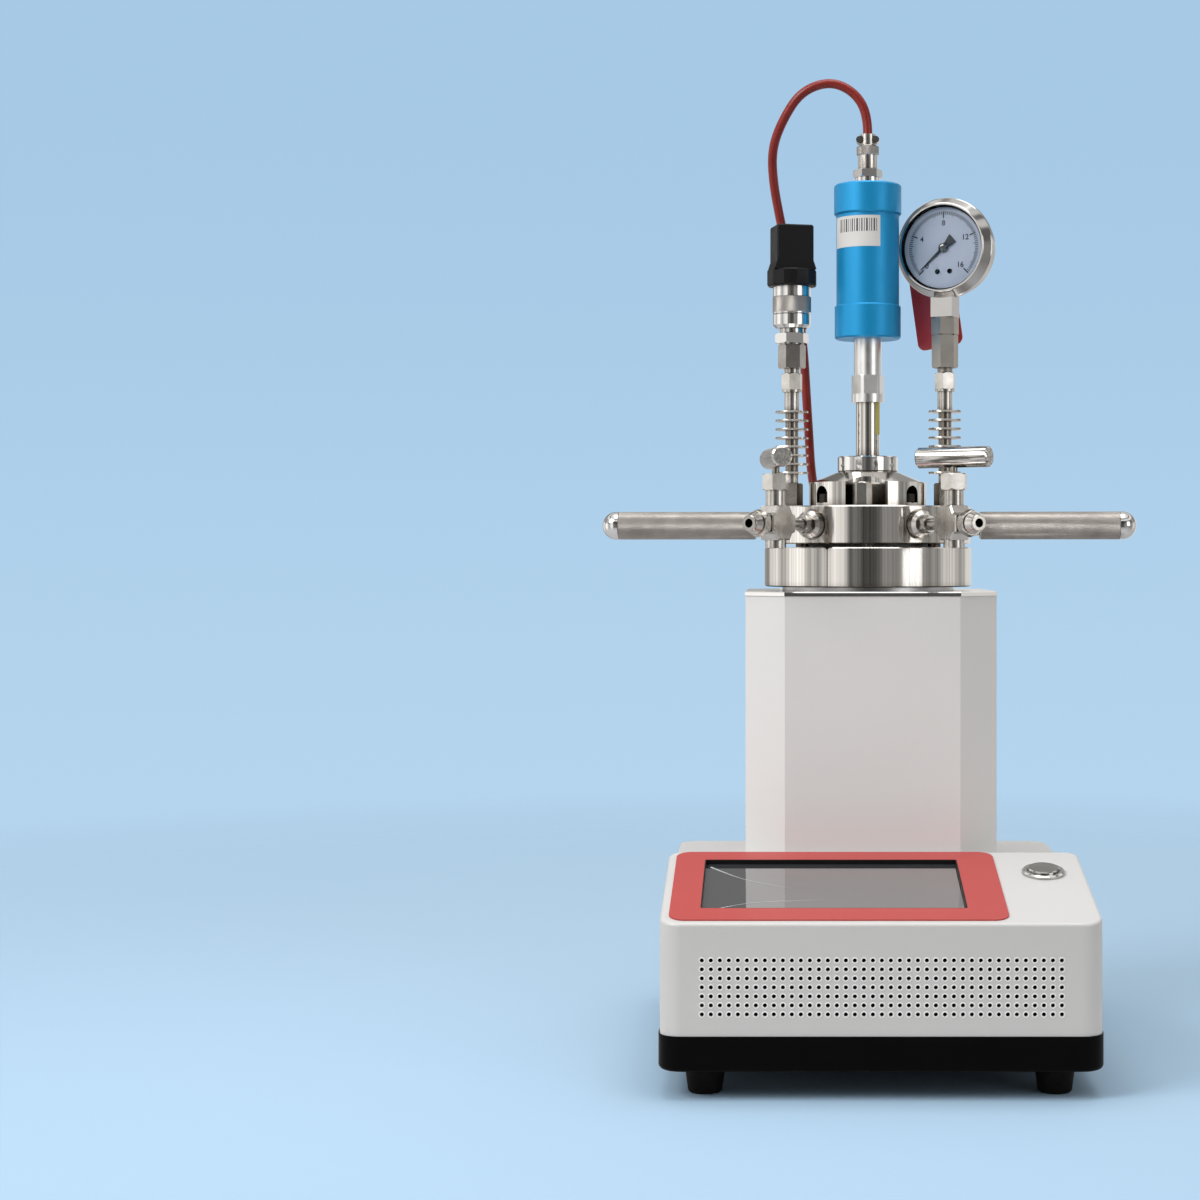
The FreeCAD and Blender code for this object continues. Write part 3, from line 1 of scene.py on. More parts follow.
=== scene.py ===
# %% [markdown]
# # A high pressure reactor, dressed in Blender
# The reactor is a steel vessel under a bolted lid. It hangs in a heated white tower, and the
# tower stands on a base with a touch screen. The solid model comes from CAD and never changes
# here. This lesson gives each piece its finish, and models what CAD left plain: knurling, the
# face of the gauge, the sticker, the rims of the air holes and the cable.

# %% Load the solid model
import bpy
import math
from mathutils import Matrix, Vector


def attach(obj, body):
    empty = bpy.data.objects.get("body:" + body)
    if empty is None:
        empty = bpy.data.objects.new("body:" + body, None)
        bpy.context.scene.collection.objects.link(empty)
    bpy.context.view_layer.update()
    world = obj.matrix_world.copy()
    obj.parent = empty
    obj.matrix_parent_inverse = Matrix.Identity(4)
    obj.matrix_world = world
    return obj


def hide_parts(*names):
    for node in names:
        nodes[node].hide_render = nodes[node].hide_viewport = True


MM = 0.001

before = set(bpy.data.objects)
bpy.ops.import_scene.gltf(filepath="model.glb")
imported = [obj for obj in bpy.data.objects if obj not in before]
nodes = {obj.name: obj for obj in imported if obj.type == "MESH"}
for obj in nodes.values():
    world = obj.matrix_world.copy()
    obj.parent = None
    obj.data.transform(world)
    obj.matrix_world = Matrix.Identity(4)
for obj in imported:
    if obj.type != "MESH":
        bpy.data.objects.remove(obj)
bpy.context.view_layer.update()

# %% [markdown]
# ## The camera
# The camera stands low in front of the reactor, a little left of it, and looks straight
# ahead, so upright edges stay upright in the picture. Sliding the lens instead of tilting the
# camera keeps them so: that is what the two shift values do.

# %% Camera
AXIS_MM = 54.0
AXIS_Y = AXIS_MM * MM
CAMERA_X = -0.0566
CAMERA_DISTANCE = 1.4516
CAMERA_HEIGHT = 0.3035
camera_data = bpy.data.cameras.new("camera")
camera_data.lens = 67.5
camera_data.sensor_width = 36.0
camera_data.shift_x = -0.15
camera_data.shift_y = -0.0375
camera_data.clip_start = 0.05
camera_data.clip_end = 60.0
camera = bpy.data.objects.new("camera", camera_data)
camera.location = (CAMERA_X, AXIS_Y - CAMERA_DISTANCE, CAMERA_HEIGHT)
camera.rotation_euler = (math.radians(90), 0, 0)
bpy.context.scene.collection.objects.link(camera)
bpy.context.scene.camera = camera

# %% [markdown]
# ## Finishes
# A finish is one Principled shader with a few nodes in front of it. Two helpers cover nearly
# all of them: one makes a noise at a real size, and one turns a noise into relief. Noise reads
# Object coordinates, which are metres here, so a scale of 1000 gives grains of a millimetre.

# %% Helpers for finishes
def finish(name, colour, metallic=0.0, roughness=0.5, **sockets):
    """A new material with its plain values set on the shader itself."""
    made = bpy.data.materials.new(name)
    made.use_nodes = True
    shader = made.node_tree.nodes["Principled BSDF"]
    shader.inputs["Base Color"].default_value = (*colour, 1.0)
    shader.inputs["Metallic"].default_value = metallic
    shader.inputs["Roughness"].default_value = roughness
    for socket, value in sockets.items():
        shader.inputs[socket.replace("_", " ")].default_value = value
    return made


def node(made, kind, **inputs):
    """A node in a material, with plain values or links for its inputs."""
    new = made.node_tree.nodes.new(kind)
    for key, value in inputs.items():
        wire(made, new.inputs[key.replace("_", " ")], value)
    return new


def wire(made, socket, value):
    """Sets a socket to a value, or links it when the value is another node's output."""
    if isinstance(value, bpy.types.NodeSocket):
        made.node_tree.links.new(value, socket)
    else:
        socket.default_value = value


def place(made, stretch=(1, 1, 1), centre=(0, 0, 0)):
    """Object coordinates measured from a centre and stretched along the axes."""
    source = node(made, "ShaderNodeTexCoord")
    mapping = node(made, "ShaderNodeMapping", Vector=source.outputs["Object"])
    mapping.inputs["Scale"].default_value = stretch
    mapping.inputs["Location"].default_value = [-c * s for c, s in zip(centre, stretch)]
    return mapping.outputs["Vector"]


def noise(made, scale, detail=2.0, vector=None, roughness=0.5):
    """A noise between 0 and 1; scale is grains per metre."""
    vector = vector or place(made)
    made_noise = node(made, "ShaderNodeTexNoise", Vector=vector, Scale=scale, Detail=detail)
    made_noise.inputs["Roughness"].default_value = roughness
    return made_noise.outputs["Fac"]


def between(made, value, low, high, out_low, out_high):
    """Stretches a value from one range to another, and clamps it."""
    ramp = node(made, "ShaderNodeMapRange", Value=value)
    for key, number in zip(("From Min", "From Max", "To Min", "To Max"), (low, high, out_low, out_high)):
        ramp.inputs[key].default_value = number
    return ramp.outputs["Result"]


def relief(made, height, distance, strength=1.0):
    """Adds relief to the shader, on top of any that it has already."""
    shader = made.node_tree.nodes["Principled BSDF"]
    bump = node(made, "ShaderNodeBump", Height=height, Strength=strength, Distance=distance)
    before = shader.inputs["Normal"].links
    if before:
        wire(made, bump.inputs["Normal"], before[0].from_socket)
    wire(made, shader.inputs["Normal"], bump.outputs["Normal"])


def vary_roughness(made, value, low, high):
    """Lets a noise move the roughness between two values."""
    shader = made.node_tree.nodes["Principled BSDF"]
    wire(made, shader.inputs["Roughness"], between(made, value, 0.3, 0.7, low, high))


def vary_colour(made, value, first, second):
    """Lets a noise mix two colours."""
    shader = made.node_tree.nodes["Principled BSDF"]
    mix = node(made, "ShaderNodeMix")
    mix.data_type = "RGBA"
    wire(made, mix.inputs["Factor"], between(made, value, 0.3, 0.7, 0.0, 1.0))
    mix.inputs[6].default_value = (*first, 1.0)
    mix.inputs[7].default_value = (*second, 1.0)
    wire(made, shader.inputs["Base Color"], mix.outputs[2])


def crevices(made, distance, dark):
    """Paints shade into corners and pockets, where little light comes in, with some oil that stays there: an
    occlusion mask mixes in a dark colour.
    """
    shader = made.node_tree.nodes["Principled BSDF"]
    shade_mask = node(made, "ShaderNodeAmbientOcclusion", Distance=distance)
    shade_mask.samples = 8
    mix = node(made, "ShaderNodeMix")
    mix.data_type = "RGBA"
    wire(made, mix.inputs["Factor"], between(made, shade_mask.outputs["AO"], 0.30, 0.85, 0.0, 1.0))
    mix.inputs[6].default_value = (*dark, 1.0)
    before = shader.inputs["Base Color"].links
    wire(made, mix.inputs[7], before[0].from_socket if before else shader.inputs["Base Color"].default_value)
    wire(made, shader.inputs["Base Color"], mix.outputs[2])


def dress(made, *names):
    """Gives a finish to CAD nodes."""
    for name in names:
        for slot in nodes[name].material_slots:
            slot.material = made

# %% [markdown]
# ## The cable
# A red silicone cable runs from the plug on top of the drive, over to the left and down behind
# the transducer and the tower to a gland in the deck. It is one smooth curve: its points, in
# mm, are the corners of the route in CAD, and the curve rounds them off by itself.

# %% Route of the cable
CABLE_ROUTE = (
    (0.0, 54.0, 574.5), (0.0, 54.0, 587.3), (-8.0, 54.5, 602.0), (-24.0, 56.0, 609.8),
    (-43.0, 60.0, 603.8), (-55.0, 66.0, 586.3), (-62.0, 72.0, 568.3), (-61.0, 78.0, 547.3),
    (-56.5, 83.0, 524.3), (-51.0, 86.0, 498.3), (-45.0, 87.0, 469.3), (-41.0, 87.5, 439.3),
    (-39.2, 89.0, 409.3), (-37.4, 92.5, 382.3), (-36.0, 100.5, 360.3), (-33.0, 116.0, 344.3),
    (-29.5, 131.5, 325.3), (-26.5, 139.0, 301.3), (-24.0, 141.6, 274.3), (-22.4, 140.9, 247.3),
    (-20.6, 141.4, 220.3), (-19.9, 140.8, 193.3), (-20.4, 140.1, 166.3), (-20.0, 140.5, 144.3),
    (-20.0, 140.5, 121.1),
)
CABLE_DIAMETER = 0.006
cable_curve = bpy.data.curves.new("drive_cable_red", "CURVE")
cable_curve.dimensions = "3D"
spline = cable_curve.splines.new("NURBS")
spline.points.add(len(CABLE_ROUTE) - 1)
for point, (x, y, z) in zip(spline.points, CABLE_ROUTE):
    point.co = (x * MM, y * MM, z * MM, 1.0)
spline.order_u = 3
spline.use_endpoint_u = True
spline.resolution_u = 12
cable_curve.bevel_depth = CABLE_DIAMETER / 2
cable_curve.bevel_resolution = 5
cable_curve.use_fill_caps = True
cable = bpy.data.objects.new("drive_cable_red", cable_curve)
bpy.context.scene.collection.objects.link(cable)

# %% Red silicone
silicone = finish("red_silicone", (0.25, 0.020, 0.014), roughness=0.3, Specular_IOR_Level=0.4)
vary_colour(silicone, noise(silicone, 60, 3), (0.22, 0.016, 0.011), (0.29, 0.026, 0.019))
relief(silicone, noise(silicone, 2500, 2), 0.00002, 0.4)
cable_curve.materials.append(silicone)
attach(cable, "reactor")
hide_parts("drive_cable")

# %% [markdown]
# ## White powder coat, black tray and rubber feet
# Powder coat is smooth, but close up it has a fine orange peel. Black satin paint shows
# the same. Rubber is matte and takes dust, so its colour is never quite black.

# %% Paint
def powder_coat(name, colour):
    """A baked paint: a thin clear coat over a faint orange peel."""
    made = finish(name, colour, roughness=0.38, Coat_Weight=0.15, Coat_Roughness=0.2)
    vary_roughness(made, noise(made, 35, 4), 0.34, 0.44)
    relief(made, noise(made, 900, 2), 0.00004, 0.35)
    return made


dress(powder_coat("white_powder_coat", (0.86, 0.85, 0.84)), "tower_casing")
# The base wears the tower's white coat; its darker colour is painted shade, as the low base gets less light.
dress(powder_coat("white_powder_coat_painted_shade", (0.67, 0.665, 0.66)), "base_shell")

black_paint = finish("black_satin_paint", (0.0015, 0.0015, 0.0018), roughness=0.35, Specular_IOR_Level=0.06)
vary_roughness(black_paint, noise(black_paint, 45, 4), 0.30, 0.45)
relief(black_paint, noise(black_paint, 1200, 2), 0.00004, 0.35)
dress(black_paint, "base_tray")

# %% Rubber and black plastic
rubber = finish("foot_rubber", (0.004, 0.004, 0.004), roughness=0.62, Specular_IOR_Level=0.12)
vary_colour(rubber, noise(rubber, 250, 4), (0.002, 0.002, 0.002), (0.006, 0.006, 0.006))
relief(rubber, noise(rubber, 1800, 3), 0.00005, 0.4)
dress(rubber, "rubber_feet")

black_plastic = finish("moulded_black_plastic", (0.006, 0.006, 0.007), roughness=0.42,
                       Specular_IOR_Level=0.2)
vary_roughness(black_plastic, noise(black_plastic, 120, 3), 0.36, 0.52)
relief(black_plastic, noise(black_plastic, 2600, 2), 0.00003, 0.45)
dress(black_plastic, "seal_ring", "transducer_connector", "power_inlet", "cable_gland")

# %% [markdown]
# ## Steel
# Most of the reactor is stainless steel. Turned steel keeps the fine rings that the tool left,
# all round the axis. Milled steel on the nuts and valves is duller and has no clear direction.
# Polished steel is nearly a mirror, with a few soft smears. Further on come the less common
# finishes: dark chrome, blasted, drawn and satin steel, and black oxide on the hub's screws.

# %% Helpers for steel
# Most steel finishes below get painted shade, with some oil, in their corners and pockets.
STEEL = (0.68, 0.655, 0.62)


def turned_rings(made, centre):
    """Lines that run round an upright axis: they depend on the radius and the height only."""
    vector = place(made, centre=centre)
    parts = node(made, "ShaderNodeSeparateXYZ", Vector=vector)
    flat = node(made, "ShaderNodeCombineXYZ", X=parts.outputs["X"], Y=parts.outputs["Y"])
    radius = node(made, "ShaderNodeVectorMath")
    radius.operation = "LENGTH"
    wire(made, radius.inputs[0], flat.outputs["Vector"])
    rings = node(made, "ShaderNodeCombineXYZ", X=radius.outputs["Value"], Y=parts.outputs["Z"])
    return noise(made, 2600, 3, rings.outputs["Vector"])


def streaks(made, centre, first, second):
    """Narrow upright streaks of two colours round an upright axis: painted reflection bands, like those a
    turned wall reflects.
    """
    parts = node(made, "ShaderNodeSeparateXYZ", Vector=place(made, centre=centre))
    bearing = node(made, "ShaderNodeMath")
    bearing.operation = "ARCTAN2"
    wire(made, bearing.inputs[0], parts.outputs["X"])
    wire(made, bearing.inputs[1], parts.outputs["Y"])
    line = node(made, "ShaderNodeCombineXYZ", X=bearing.outputs[0])
    lines = noise(made, 22, 5, line.outputs["Vector"], 0.75)
    vary_colour(made, between(made, lines, 0.38, 0.60, 0.3, 0.7), first, second)


def brushed(made, centre, anisotropy):
    """Spreads reflections across the turning lines, which makes upright streaks on a round wall."""
    parts = node(made, "ShaderNodeSeparateXYZ", Vector=place(made, centre=centre))
    back = node(made, "ShaderNodeMath", Value=parts.outputs["Y"])
    back.operation = "MULTIPLY"
    back.inputs[1].default_value = -1.0
    along = node(made, "ShaderNodeCombineXYZ", X=back.outputs[0], Y=parts.outputs["X"])
    unit = node(made, "ShaderNodeVectorMath")
    unit.operation = "NORMALIZE"
    wire(made, unit.inputs[0], along.outputs["Vector"])
    shader = made.node_tree.nodes["Principled BSDF"]
    shader.inputs["Anisotropic"].default_value = anisotropy
    shader.inputs["Anisotropic Rotation"].default_value = 0.25
    wire(made, shader.inputs["Tangent"], unit.outputs["Vector"])

# %% Turned, milled and polished steel
turned = finish("turned_steel_on_axis", STEEL, metallic=1.0, roughness=0.2)
rings = turned_rings(turned, (0, AXIS_Y, 0))
relief(turned, rings, 0.000012, 0.5)
vary_roughness(turned, noise(turned, 60, 4), 0.09, 0.13)
# Painted reflection: light and dark upright bands in the turned steel's colour.
streaks(turned, (0, AXIS_Y, 0), (0.44, 0.41, 0.37), (0.80, 0.785, 0.76))
brushed(turned, (0, AXIS_Y, 0), 0.75)
crevices(turned, 0.010, (0.16, 0.125, 0.09))
dress(turned, "lid", "split_ring_left", "split_ring_right", "vessel_cup", "drive_flange",
      "drive_tube_lower")

milled = finish("milled_steel", STEEL, metallic=1.0, roughness=0.22)
vary_roughness(milled, noise(milled, 150, 2), 0.18, 0.26)
vary_colour(milled, noise(milled, 120, 3), (0.47, 0.445, 0.41), (0.60, 0.58, 0.55))
relief(milled, noise(milled, 1500, 1), 0.000006, 0.3)
crevices(milled, 0.006, (0.13, 0.105, 0.08))
dress(milled, "valve_inlets", "valve_bodies", "packing_nuts", "valve_outlets", "valve_stem_left",
      "valve_stem_right", "cooling_tubes", "coupling_nuts",
      "sensor_adapter", "port_plug", "side_handles", "cable_plug",
      "stir_shaft", "impeller")

polished = finish("polished_steel", (0.72, 0.71, 0.70), metallic=1.0, roughness=0.09)
vary_roughness(polished, noise(polished, 110, 4), 0.05, 0.15)
crevices(polished, 0.005, (0.16, 0.14, 0.12))
dress(polished, "collar_nut", "transducer", "cable_socket", "power_button_bezel",
      "trim_plate")

# %% Dark chrome and blasted steel
dark_chrome = finish("dark_chrome", (0.50, 0.49, 0.48), metallic=1.0, roughness=0.14)
vary_roughness(dark_chrome, noise(dark_chrome, 90, 4), 0.10, 0.20)
dress(dark_chrome, "power_button_cap", "gauge_bezel", "gauge_case")

blasted = finish("blasted_steel", (0.46, 0.435, 0.40), metallic=1.0, roughness=0.45)
vary_roughness(blasted, noise(blasted, 200, 3), 0.40, 0.50)
relief(blasted, noise(blasted, 3000, 2), 0.00001, 0.4)
crevices(blasted, 0.006, (0.13, 0.105, 0.08))
dress(blasted, "gauge_adapter")

# %% Drawn bars, satin tubes and screws
def drawn(name, turn, dark):
    """Bar stock: fine lines along the bar, which lies level at an angle round Z."""
    made = finish(name, STEEL, metallic=1.0, roughness=0.12)
    vector = place(made)
    mapping = vector.node
    mapping.vector_type = "TEXTURE"
    mapping.inputs["Rotation"].default_value = (0, 0, math.radians(turn))
    mapping.inputs["Scale"].default_value = (20, 1, 1)
    lines = noise(made, 700, 4, vector, 0.65)
    contrast = between(made, lines, 0.40, 0.58, 0.25, 0.75)
    vary_colour(made, contrast, dark, (0.76, 0.745, 0.72))
    vary_roughness(made, contrast, 0.18, 0.12)
    crevices(made, 0.005, (0.13, 0.105, 0.08))
    return made


# Both bars are the same drawn steel; the right bar's far darker lines are painted shade.
dress(drawn("drawn_steel_left", 99.5, (0.50, 0.48, 0.45)), "valve_bar_left")
dress(drawn("drawn_steel_right_painted_shade", 152.4, (0.16, 0.145, 0.125)), "valve_bar_right")

satin = finish("satin_steel", (0.82, 0.81, 0.80), metallic=1.0, roughness=0.32)
vary_roughness(satin, noise(satin, 110, 4), 0.27, 0.37)
dress(satin, "drive_tube_upper", "union_nut")

screw_steel = finish("screw_steel", (0.42, 0.41, 0.40), metallic=1.0, roughness=0.34)
vary_roughness(screw_steel, noise(screw_steel, 500, 3), 0.26, 0.45)
crevices(screw_steel, 0.008, (0.05, 0.04, 0.03))
dress(screw_steel, "closure_screws", "outer_magnet", "inner_magnet")

oxide = finish("black_oxide_steel", (0.035, 0.028, 0.022), metallic=0.7, roughness=0.5)
vary_roughness(oxide, noise(oxide, 500, 3), 0.42, 0.58)
dress(oxide, "hub_screws")

# %% [markdown]
# ## Blue anodised aluminium
# The drive housing is turned aluminium, dyed blue. Anodising keeps the metal's sheen but
# spreads it, so the shader is partly metallic with a wide highlight and faint tool lines.

# %% Blue housing, heater and the pieces inside
blue = finish("blue_anodised", (0.012, 0.33, 0.68), metallic=0.35, roughness=0.4, Specular_IOR_Level=0.4)
relief(blue, turned_rings(blue, (0, AXIS_Y, 0)), 0.00001, 0.4)
vary_roughness(blue, noise(blue, 80, 4), 0.36, 0.46)
dress(blue, "drive_lower_cap", "drive_housing", "drive_top_cap")

heater = finish("heater_aluminium", (0.60, 0.60, 0.61), metallic=1.0, roughness=0.35)
relief(heater, turned_rings(heater, (0, AXIS_Y, 0)), 0.00002, 0.5)
dress(heater, "heating_jacket")

wool = finish("mineral_wool", (0.62, 0.58, 0.44), roughness=0.95)
relief(wool, noise(wool, 700, 6), 0.0008, 0.8)
dress(wool, "insulation")

sealing = finish("white_sealing_plastic", (0.75, 0.74, 0.71), roughness=0.4)
relief(sealing, noise(sealing, 900, 2), 0.00003, 0.3)
dress(sealing, "lid_gasket", "shaft_bushes")

motor_paint = finish("motor_paint", (0.03, 0.03, 0.033), roughness=0.4, metallic=0.3)
relief(motor_paint, noise(motor_paint, 1000, 2), 0.00003, 0.3)
dress(motor_paint, "stir_motor")

# %% [markdown]
# ## Screen and its red film
# A printed film frames the screen. It is glued on, so it is flat but for tiny waves. The
# screen still wears its clear protective film, and the creases in that film catch the light.

# %% Screen and film
red_film = finish("red_printed_film", (0.50, 0.068, 0.062), roughness=0.4, Specular_IOR_Level=0.35)
relief(red_film, noise(red_film, 45, 2), 0.0003, 0.25)
relief(red_film, noise(red_film, 1600, 2), 0.00002, 0.3)
dress(red_film, "screen_overlay")

screen = finish("touch_screen_glass", (0.05, 0.053, 0.058), roughness=0.05, IOR=2.4, Coat_Weight=1.0,
                Coat_Roughness=0.03, Coat_IOR=2.4)
relief(screen, noise(screen, 18, 2), 0.0003, 0.3)
dress(screen, "touch_screen")

# %% [markdown]
# ## Gauge and tag
# The dial is painted, the pointer is black, and the window in front is thin clear glass. The
# tag behind is stamped sheet under a thick coat of dark red enamel.

# %% Gauge and tag
glass = finish("window_glass", (1.0, 1.0, 1.0), roughness=0.0, Transmission_Weight=1.0, IOR=1.08)
dress(glass, "gauge_glass")

dial_paint = finish("dial_paint", (0.42, 0.42, 0.465), roughness=0.5)
relief(dial_paint, noise(dial_paint, 1500, 2), 0.00001, 0.3)
dress(dial_paint, "gauge_dial")

pointer_paint = finish("pointer_black", (0.012, 0.012, 0.013), roughness=0.4)
dress(pointer_paint, "gauge_pointer")

enamel = finish("dark_red_enamel", (0.72, 0.06, 0.06), roughness=0.25, Coat_Weight=0.6, Coat_Roughness=0.08)
relief(enamel, noise(enamel, 120, 3), 0.0002, 0.3)
dress(enamel, "red_tag")

# %% [markdown]
# ## Tools for new pieces
# Every new piece starts as one point. The point is pulled out into half of a section, and the
# section is spun round an upright line, as on a lathe. A part turn gives a label or a tick, and
# a full turn gives a ring. Then the piece is moved to its place, and the move is applied.

# %% Helpers for new pieces
def alone(*pieces):
    """Deselects everything, then selects these pieces and makes the first one active."""
    bpy.ops.object.select_all(action="DESELECT")
    for piece in pieces:
        piece.select_set(True)
    if pieces:
        bpy.context.view_layer.objects.active = pieces[0]


def start_point(name, x, z):
    """A new mesh of one vertex, left in edit mode."""
    alone()
    bpy.ops.mesh.primitive_plane_add(size=MM)
    made = bpy.context.object
    made.name = made.data.name = name
    bpy.context.tool_settings.mesh_select_mode = (True, False, False)
    bpy.ops.object.mode_set(mode="EDIT")
    bpy.ops.mesh.merge(type="CENTER")
    bpy.ops.transform.translate(value=(x * MM, 0, z * MM))
    return made


def lathe(name, profile, steps=64, sweep=360.0, first=0.0):
    """Spins a section of (radius, height) in mm round Z; a part turn starts at an angle. The
    spin tool counts its angle the other way round, hence the minus."""
    made = start_point(name, *profile[0])
    for (r0, z0), (r1, z1) in zip(profile, profile[1:]):
        step = ((r1 - r0) * MM, 0, (z1 - z0) * MM)
        bpy.ops.mesh.extrude_vertices_move(TRANSFORM_OT_translate={"value": step})
    bpy.ops.mesh.select_all(action="SELECT")
    if sweep < 360:
        bpy.ops.mesh.edge_face_add()
    bpy.ops.mesh.spin(steps=steps, angle=-math.radians(sweep), center=(0, 0, 0), axis=(0, 0, 1))
    bpy.ops.mesh.select_all(action="SELECT")
    bpy.ops.mesh.remove_doubles(threshold=1e-6)
    bpy.ops.mesh.normals_make_consistent(inside=False)
    bpy.ops.object.mode_set(mode="OBJECT")
    made.rotation_euler[2] = math.radians(first)
    return made


def settle(made, place_at=Matrix.Identity(4)):
    """Puts a piece in its place, and the place into its mesh."""
    made.matrix_world = place_at @ made.matrix_basis
    alone(made)
    bpy.ops.object.transform_apply(location=True, rotation=True, scale=True)
    return made


def joined(name, pieces):
    """Several pieces made one mesh."""
    alone(*pieces)
    if len(pieces) > 1:
        bpy.ops.object.join()
    pieces[0].name = pieces[0].data.name = name
    return pieces[0]


def keep(made, body, slot, *finishes, crease=35.0):
    """Smooths a piece between its sharp edges, and gives it its finishes and its body."""
    alone(made)
    bpy.ops.object.shade_smooth_by_angle(angle=math.radians(crease))
    for each in finishes:
        made.data.materials.append(each)
    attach(made, body)
    print(made.name, "faces", len(made.data.polygons), "size mm",
          [round(side * 1000, 1) for side in made.dimensions])
    return made


def at(x, y, z, turn=0.0):
    """A place in mm, with a turn round Z in degrees."""
    return Matrix.Translation((x * MM, y * MM, z * MM)) @ Matrix.Rotation(math.radians(turn), 4, "Z")


def lying_at(bearing, z):
    """Lays an upright piece along a bearing of the lid, with its foot on the tower's axis."""
    turn = Matrix.Rotation(math.radians(bearing - 90), 4, "Z")
    return Matrix.Translation((0, AXIS_Y, z * MM)) @ turn @ Matrix.Rotation(math.radians(90), 4, "Y")

# %% [markdown]
# ## Knurling
# A knurl is a field of small pyramids, pressed into the bar by two wheels with slanted teeth. It
# could be a bump map, but then the outline would stay smooth and the printed part would be
# plain. Here it is real: a fine grid is spun into a sleeve, its squares become diamonds, and
# each diamond is poked up to a point.

# %% Knurl helper
def knurled(name, radius, low, high, columns, rise):
    """A sleeve of pyramids between two heights, in mm."""
    length = high - low
    rows = max(2, round(length * columns / (2 * math.pi * radius)))
    made = start_point(name, radius, low)
    for _ in range(rows):
        bpy.ops.mesh.extrude_vertices_move(TRANSFORM_OT_translate={"value": (0, 0, length * MM / rows)})
    bpy.ops.mesh.select_all(action="SELECT")
    bpy.ops.mesh.spin(steps=columns, angle=2 * math.pi, center=(0, 0, 0), axis=(0, 0, 1))
    bpy.ops.mesh.select_all(action="SELECT")
    bpy.ops.mesh.remove_doubles(threshold=1e-6)
    bpy.ops.mesh.normals_make_consistent(inside=False)
    bpy.ops.object.mode_set(mode="OBJECT")
    grid_points = len(made.data.vertices)
    bpy.ops.object.mode_set(mode="EDIT")
    bpy.ops.mesh.select_all(action="SELECT")
    bpy.ops.mesh.poke(offset=0.0)
    bpy.ops.object.mode_set(mode="OBJECT")
    bpy.context.tool_settings.mesh_select_mode = (False, True, False)
    for element in (*made.data.vertices, *made.data.edges, *made.data.polygons):
        element.select = False
    rims = {low, high}
    for edge in made.data.edges:
        ends = [made.data.vertices[v] for v in edge.vertices]
        on_rim = any(all(abs(v.co.z / MM - rim) < 0.001 for v in ends) for rim in rims)
        edge.select = max(edge.vertices) < grid_points and not on_rim
    bpy.ops.object.mode_set(mode="EDIT")
    bpy.ops.mesh.dissolve_edges(use_verts=False)
    bpy.ops.mesh.select_all(action="SELECT")
    bpy.ops.mesh.poke(offset=rise * MM)
    bpy.ops.object.mode_set(mode="OBJECT")
    return made

# %% [markdown]
# ## The two side handles
# Two bars are screwed into the lid, so that the hot head can be lifted off. Each has a plain
# neck, a knurled grip and a polished domed end. The plain part is spun from one section, and
# the knurled sleeve lies on its grip. One bar is made and then copied for the other side.

# %% Side handles
knurl_steel = finish("knurled_steel", (0.38, 0.355, 0.33), metallic=1.0, roughness=0.34)
vary_roughness(knurl_steel, noise(knurl_steel, 300, 3), 0.30, 0.42)
vary_colour(knurl_steel, noise(knurl_steel, 90, 4), (0.33, 0.305, 0.285), (0.43, 0.405, 0.38))

HANDLE_Z = 322.45
HANDLE_SWING = 3.4
HANDLE_FOOT = 65.5
GRIP_FROM = 72.4
GRIP_TO = 161.2
GRIP_RADIUS = 8.6
DOME_FOOT = 163.0
DOME_RADIUS = 9.0


def dome_point(degrees):
    """A point of the domed end, from its widest (0) to its tip (90)."""
    along = math.radians(degrees)
    return (DOME_RADIUS * math.cos(along), DOME_FOOT + DOME_RADIUS * math.sin(along))


neck = [(0, HANDLE_FOOT), (6.5, HANDLE_FOOT), (6.5, 71.6), (8.2, 71.6), (GRIP_RADIUS, GRIP_FROM)]
shoulder = [(GRIP_RADIUS, GRIP_TO), (8.95, 161.5)]
dome = [dome_point(degrees) for degrees in range(0, 90, 9)] + [(0, DOME_FOOT + DOME_RADIUS)]
bar_plain = lathe("handle_bar", neck + shoulder + dome, 64)
grip = knurled("handle_grip", 8.72, 72.6, GRIP_TO, 48, 0.26)
handle = joined("handle_right", [bar_plain, grip])
handle.data.materials.append(polished)
handle.data.materials.append(knurl_steel)
for face in handle.data.polygons:
    middle = face.center.z / MM
    outside = math.hypot(face.center.x, face.center.y) / MM
    in_grip = GRIP_FROM + 0.1 < middle < GRIP_TO + 0.1 and outside > GRIP_RADIUS + 0.02
    face.material_index = 1 if in_grip else 0
alone(handle)
bpy.ops.object.duplicate()
other = bpy.context.object
other.name = other.data.name = "handle_left"
for made, bearing in ((handle, 90.0), (other, -90.0)):
    settle(made, lying_at(bearing - HANDLE_SWING, HANDLE_Z))
    keep(made, "reactor", "turned_steel", crease=25)
    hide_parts("side_handles")

# %% [markdown]
# ## Knurled bands
# The collar of the transducer and the sleeve of the plug are turned by hand, so they have the
# same knurl as the handles. A band lies on the wall that CAD has already.

# %% Knurled bands
def knurl_band(name, radius, low, high, columns, place_at):
    """A band of knurling with a sloping edge above and below."""
    band = knurled(name + "_field", radius, low + 0.3, high - 0.3, columns, 0.22)
    edges = [lathe(name + "_edge", [(radius - 0.6, a), (radius, b), (radius - 0.6, b)], columns)
             for a, b in ((low, low + 0.3), (high, high - 0.3))]
    settle(joined(name, [band] + edges), place_at)
    return keep(band, "reactor", "turned_steel", knurl_steel, crease=25)


SENSOR_X = -48.91
SENSOR_Y = 56.9
ON_AXIS = at(0, AXIS_MM, 0)
knurl_band("transducer_knurl", 12.3, 459.7, 470.2, 66, at(SENSOR_X, SENSOR_Y, 0))
knurl_band("plug_knurl", 7.0, 561.1, 567.0, 40, ON_AXIS)

